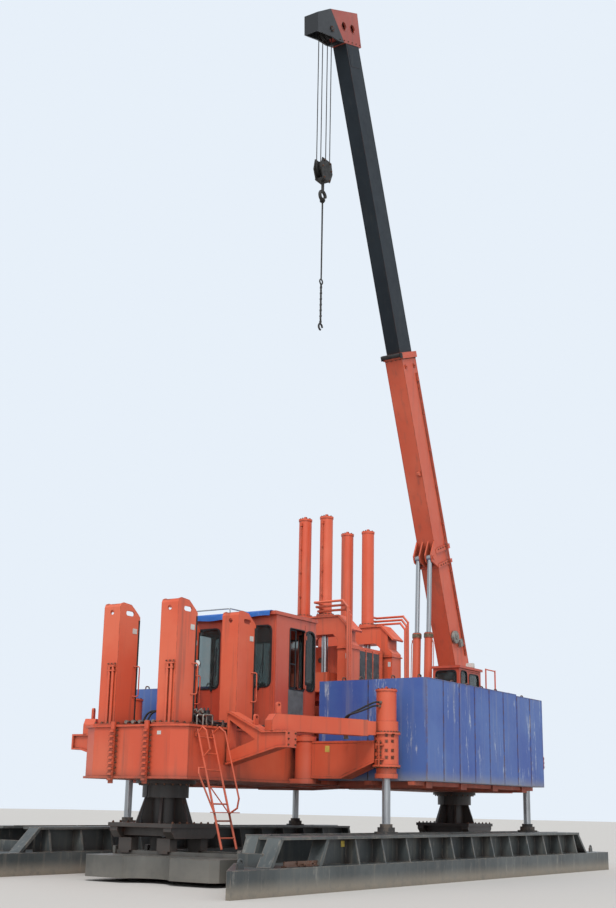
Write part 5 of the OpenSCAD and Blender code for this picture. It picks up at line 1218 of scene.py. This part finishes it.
piece("crane_door_pane", bm, pane_glass, "crane_door")
bm = bmesh.new()
add_box(bm, (4.31, -1.258, 3.72), (4.345, -1.249, 3.86), 0.003)
add_grip(bm, (4.328, -1.252, 3.84), (4.328, -1.252, 3.74), (0, -0.04, 0), 0.009, 0.02)
piece("crane_door_handle", bm, lamp_black, "crane_door")
# Seat, console and levers stand inside the crane cab, seen through its glass
bm = bmesh.new()
add_box(bm, (4.35, -1.06, 3.34), (4.72, -0.72, 3.72), 0.03)
add_box(bm, (4.32, -1.08, 3.72), (4.80, -0.70, 3.86), 0.05)
add_box(bm, (4.70, -1.07, 3.80), (4.82, -0.71, 4.40), 0.05)
add_box(bm, (3.90, -1.10, 3.34), (4.06, -0.68, 3.95), 0.03)
for y in (-1.0, -0.89, -0.78):
    add_tube(bm, [(4.0, y, 3.94), (4.05, y, 4.12)], 0.009)
    add_drum(bm, (4.052, y, 4.13), (0.27, 0, 1), 0.022, 0.05, 14, 0.008)
piece("crane_seat", bm, rubber_black, "crane")
# Rope wound on the winch drum
rope_steel = plain("rope_steel", (0.05, 0.048, 0.045), 0.5, 0.6)
bm = bmesh.new()
drum_x, drum_z = 6.56, 3.53
turns, pitch, coil = 14, 0.0245, 0.141
add_tube(bm, [(drum_x + coil * math.cos(a), -0.171 + pitch * a / math.tau, drum_z + coil * math.sin(a))
              for a in (i * math.tau / 20 for i in range(turns * 20 + 1))], 0.0115, 0.001, 6, 1)
piece("winch_rope", bm, rope_steel, "crane", 60)
# Slewing gearbox and motor, the drum motor and a work light on the cab roof
bm = bmesh.new()
gear_x, gear_y = 5.75, 0.46
add_drum(bm, (gear_x, gear_y, 3.42), up, 0.13, 0.26, 28, 0.012)
add_drum(bm, (gear_x, gear_y, 3.62), up, 0.085, 0.18, 24, 0.012)
add_block(bm, (gear_x, gear_y, 3.75), (0.12, 0.12, 0.10), 0.012)
add_drum(bm, (drum_x, 0.31, drum_z), (0, 1, 0), 0.11, 0.12, 24, 0.01)
add_drum(bm, (drum_x, 0.41, drum_z), (0, 1, 0), 0.075, 0.10, 20, 0.01)
piece("crane_motors", bm, valve_grey, "crane")
bm = bmesh.new()
add_box(bm, (4.86, -1.10, 4.84), (4.98, -0.90, 4.97), 0.012)
add_box(bm, (4.845, -1.085, 4.855), (4.865, -0.915, 4.955), 0.004)
add_grip(bm, (4.92, -1.12, 4.90), (4.92, -0.88, 4.90), (0, 0, -0.09), 0.008, 0.02, 8)
piece("crane_light", bm, plate_white, "crane")
spots = row((3.80, 0.56, 3.30), (5.05, 0.56, 3.30), 6)
spots += [((x, side * 0.33, z), (0, side, 0)) for side in both for x in (6.16, 6.34) for z in (4.22, 4.38)]
bolts("crane_deck_bolts", spots, 0.030, 17, "crane")

# Boom
# Box sections of welded plate: an orange base with a bolted collar and a dark inner section
# that slides out of it on pads. Pieces are drawn in the boom's own frame, then turned.
boom_orange = painted("boom_orange", (0.58, 0.085, 0.035), (0.66, 0.14, 0.07), 0.6, 0.15, 0.35, 0.8,
                      -1.0, 0.0, 0.0)
boom_black = painted("boom_black", (0.010, 0.015, 0.021), (0.020, 0.029, 0.037), 0.6, 0.1, 0.3, 0.5,
                     -1.0, 0.0, 0.0, dirt=(0.04, 0.04, 0.037), shine=0.2)
head_red = painted("head_red", (0.34, 0.055, 0.035), (0.42, 0.10, 0.07), 0.6, 0.3, 0.4, 0.8, -1.0, 0.0, 0.0)
dress(boom_orange, "boom_base", "luff_barrels")
dress(boom_black, "boom_inner")
dress(head_red, "boom_head")
dress(rod_chrome, "luff_rods")
# The boom's own frame has x out of its upper side and z along it
boom_foot = Vector((6.25, 0, 4.30))
boom_place = Matrix.Translation(boom_foot) @ Matrix.Rotation(math.radians(-20.5), 4, "Y")
# The nose of the head is black, on the far side of a plane that slants down its cheeks
tree = head_red.node_tree
colour = tree.nodes["Principled BSDF"].inputs["Base Color"]
slant = boom_place.to_3x3() @ Vector((1, 0, 0.5))
plane = slant.dot(boom_foot) + 8.32
nose = shader_ramp(tree, shader_dot(tree, own_place(tree), tuple(slant)), plane - 0.01, plane + 0.01)
tree.links.new(shader_mix(tree, nose, (0.012, 0.013, 0.015), colour.links[0].from_socket), colour)
spots, bm, collar_z = [], bmesh.new(), 9.14
for side in both:
    spots += row((-0.35, side * 0.27, collar_z), (0.35, side * 0.27, collar_z), 7, down)
    spots += row((side * 0.41, -0.20, collar_z), (side * 0.41, 0.20, collar_z), 4, down)
    for z in (3.59, 4.015):
        spots += row((-0.28, side * 0.285, z), (0.28, side * 0.285, z), 5, (0, side, 0))
    # Screws and lock blocks that set the sliding pads
    for x in (-0.24, 0.24):
        add_block(bm, (x, side * 0.25, 8.92), (0.10, 0.04, 0.12))
        add_drum(bm, (x, side * 0.282, 8.92), (0, 1, 0), 0.024, 0.03, 6, 0.003)
    # Beads of weld along the four corners
    for x in (-0.39, 0.39):
        for low, high in ((0.72, 3.54), (4.05, collar_z)):
            add_bead(bm, (x, side * 0.25, low), (x, side * 0.25, high), 0.007)
bolts("boom_base_bolts", spots, 0.028, 19, "boom", boom_place)
piece("boom_base_fittings", bm, boom_orange, "boom", place=boom_place)
# Roller across the lower edge of the collar, on two arms
bm = bmesh.new()
add_drum(bm, (-0.50, 0, 9.24), (0, 1, 0), 0.055, 0.56, 24, 0.008)
for side in both:
    add_block(bm, (-0.465, side * 0.285, 9.225), (0.13, 0.024, 0.13))
piece("boom_collar_roller", bm, strip_black, "boom", place=boom_place)
# Two pipes step over the collar of the foot, held by clips
bm = bmesh.new()
for x in (0.26, 0.31):
    add_tube(bm, [(x, -0.262, 1.0), (x, -0.272, 1.1), (x, -0.272, 3.45), (x - 0.06, -0.305, 3.62),
                  (x - 0.06, -0.305, 4.02), (x, -0.272, 4.2), (x, -0.272, 8.72)], 0.012, 0.08, 8)
for clip_z in (1.3, 2.3, 3.3, 4.6, 5.6, 6.6, 7.6, 8.5):
    add_box(bm, (0.235, -0.292, clip_z), (0.335, -0.249, clip_z + 0.04), 0.004)
piece("boom_pipes", bm, boom_orange, "boom", place=boom_place)
# Reel of the length cable and its box on the boom's foot
bm = bmesh.new()
add_drum(bm, (-0.20, -0.295, 1.62), (0, 1, 0), 0.17, 0.07, 32, 0.008)
add_drum(bm, (-0.20, -0.34, 1.62), (0, 1, 0), 0.06, 0.03, 20, 0.006)
add_box(bm, (-0.02, -0.33, 1.30), (0.14, -0.249, 1.50), 0.01)
reel_grey = plain("reel_grey", (0.30, 0.30, 0.27), 0.55, 0.1, scale=10.0, shade=0.6)
piece("boom_cable_reel", bm, reel_grey, "boom", place=boom_place)
# Inner section: beads of weld, and doubler plates at its outer end
bm = bmesh.new()
for side in both:
    for x in (-0.335, 0.335):
        add_bead(bm, (x, side * 0.195, 9.32), (x, side * 0.195, 17.49), 0.005)
    add_block(bm, (0, side * 0.1955, 17.175), (0.52, 0.008, 0.55), 0.003)
piece("boom_inner_beads", bm, boom_black, "boom_section", place=boom_place)
# Head: keeper plates of the sheave pin, rims of the round holes and rows of bolts
pin_x, pin_z, bolt_circle = -0.975, 17.77, 0.062
hole_z, hole_rim = 17.95, 0.118
circle = [k * math.tau / 24 for k in range(25)]
spots, bm = [], bmesh.new()
for side in both:
    add_drum(bm, (pin_x, side * 0.2135, pin_z), (0, 1, 0), 0.085, 0.014, 32, 0.003)
    for x in (-0.30, 0.15):
        add_tube(bm, [(x + hole_rim * math.cos(a), side * 0.207, hole_z + hole_rim * math.sin(a))
                      for a in circle], 0.010, 0.001, 6, 1)
    spots += [((pin_x + bolt_circle * math.cos(a), side * 0.2205, pin_z + bolt_circle * math.sin(a)),
               (0, side, 0)) for a in circle[:24:4]]
    spots += row((-0.62, side * 0.205, 17.56), (0.42, side * 0.205, 17.56), 6, (0, side, 0))
piece("head_fittings", bm, head_red, "boom_section", place=boom_place)
bolts("head_bolts", spots, 0.024, 23, "boom_section", boom_place)
# Luffing cylinders: port blocks, pipes, bronze glands and their bolts
luff_place = Matrix.Translation((4.12, 0, 3.56)) @ Matrix.Rotation(math.radians(2.732), 4, "Y")
spots, ports, glands = [], bmesh.new(), bmesh.new()
for side in both:
    y = side * 0.17
    spots += ring((0, y, 2.161), 0.084, 10)
    for z in (0.20, 1.92):
        add_box(ports, (-0.03, y + side * 0.085 - 0.03, z), (0.03, y + side * 0.115 + 0.02, z + 0.07))
    add_tube(ports, [(0, side * 0.30, 0.25), (0, side * 0.322, 0.30), (0, side * 0.322, 1.88),
                     (0, side * 0.30, 1.95)], 0.010, 0.04, 8)
    add_drum(glands, (0, y, 2.085), up, 0.1225, 0.10, 32)
    add_drum(glands, (0, y, 2.155), up, 0.104, 0.012, 32, 0.003)
piece("luff_ports", ports, boom_orange, "luff_barrels", place=luff_place)
gland_bronze = plain("gland_bronze", (0.20, 0.155, 0.10), 0.5, 0.6, scale=18.0, shade=0.6)
piece("luff_glands", glands, gland_bronze, "luff_barrels", place=luff_place)
bolts("luff_bolts", spots, 0.018, 29, "luff_barrels", luff_place)

# Hook and slings
# Two sheaves between bolted cheek plates, a forged hook and a chain sling.
dress(rope_steel, "hoist_ropes", "hook_block", "slings")
hook_low, hook_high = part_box("hook_block")
block_x = (hook_low[0] + hook_high[0]) / 2
spots = [((block_x + sx * dx, side * 0.121, z), (0, side, 0))
         for side in both for dx, z in ((0.12, 16.373), (0.19, 16.653), (0.13, 16.833)) for sx in both]
bolts("hook_bolts", spots, 0.034, 31, "hook")
chain, outline = bmesh.new(), []
for a in (t * math.tau / 12 for t in range(13)):
    rise = round(math.sin(a), 6)
    long = 0.030 * math.copysign(0.6 + 0.4 * abs(rise), rise) if rise else 0
    outline.append((0.024 * math.cos(a), 0, long))
for i in range(14):
    turn_to = Matrix.Rotation(0 if i % 2 else math.pi / 2, 4, "Z")
    add_link(chain, Matrix.Translation((block_x, 0, 12.60 + 0.074 * i)) @ turn_to, outline, 0.012, 0.004)
piece("sling_chain", chain, rope_steel, "hook", 60)
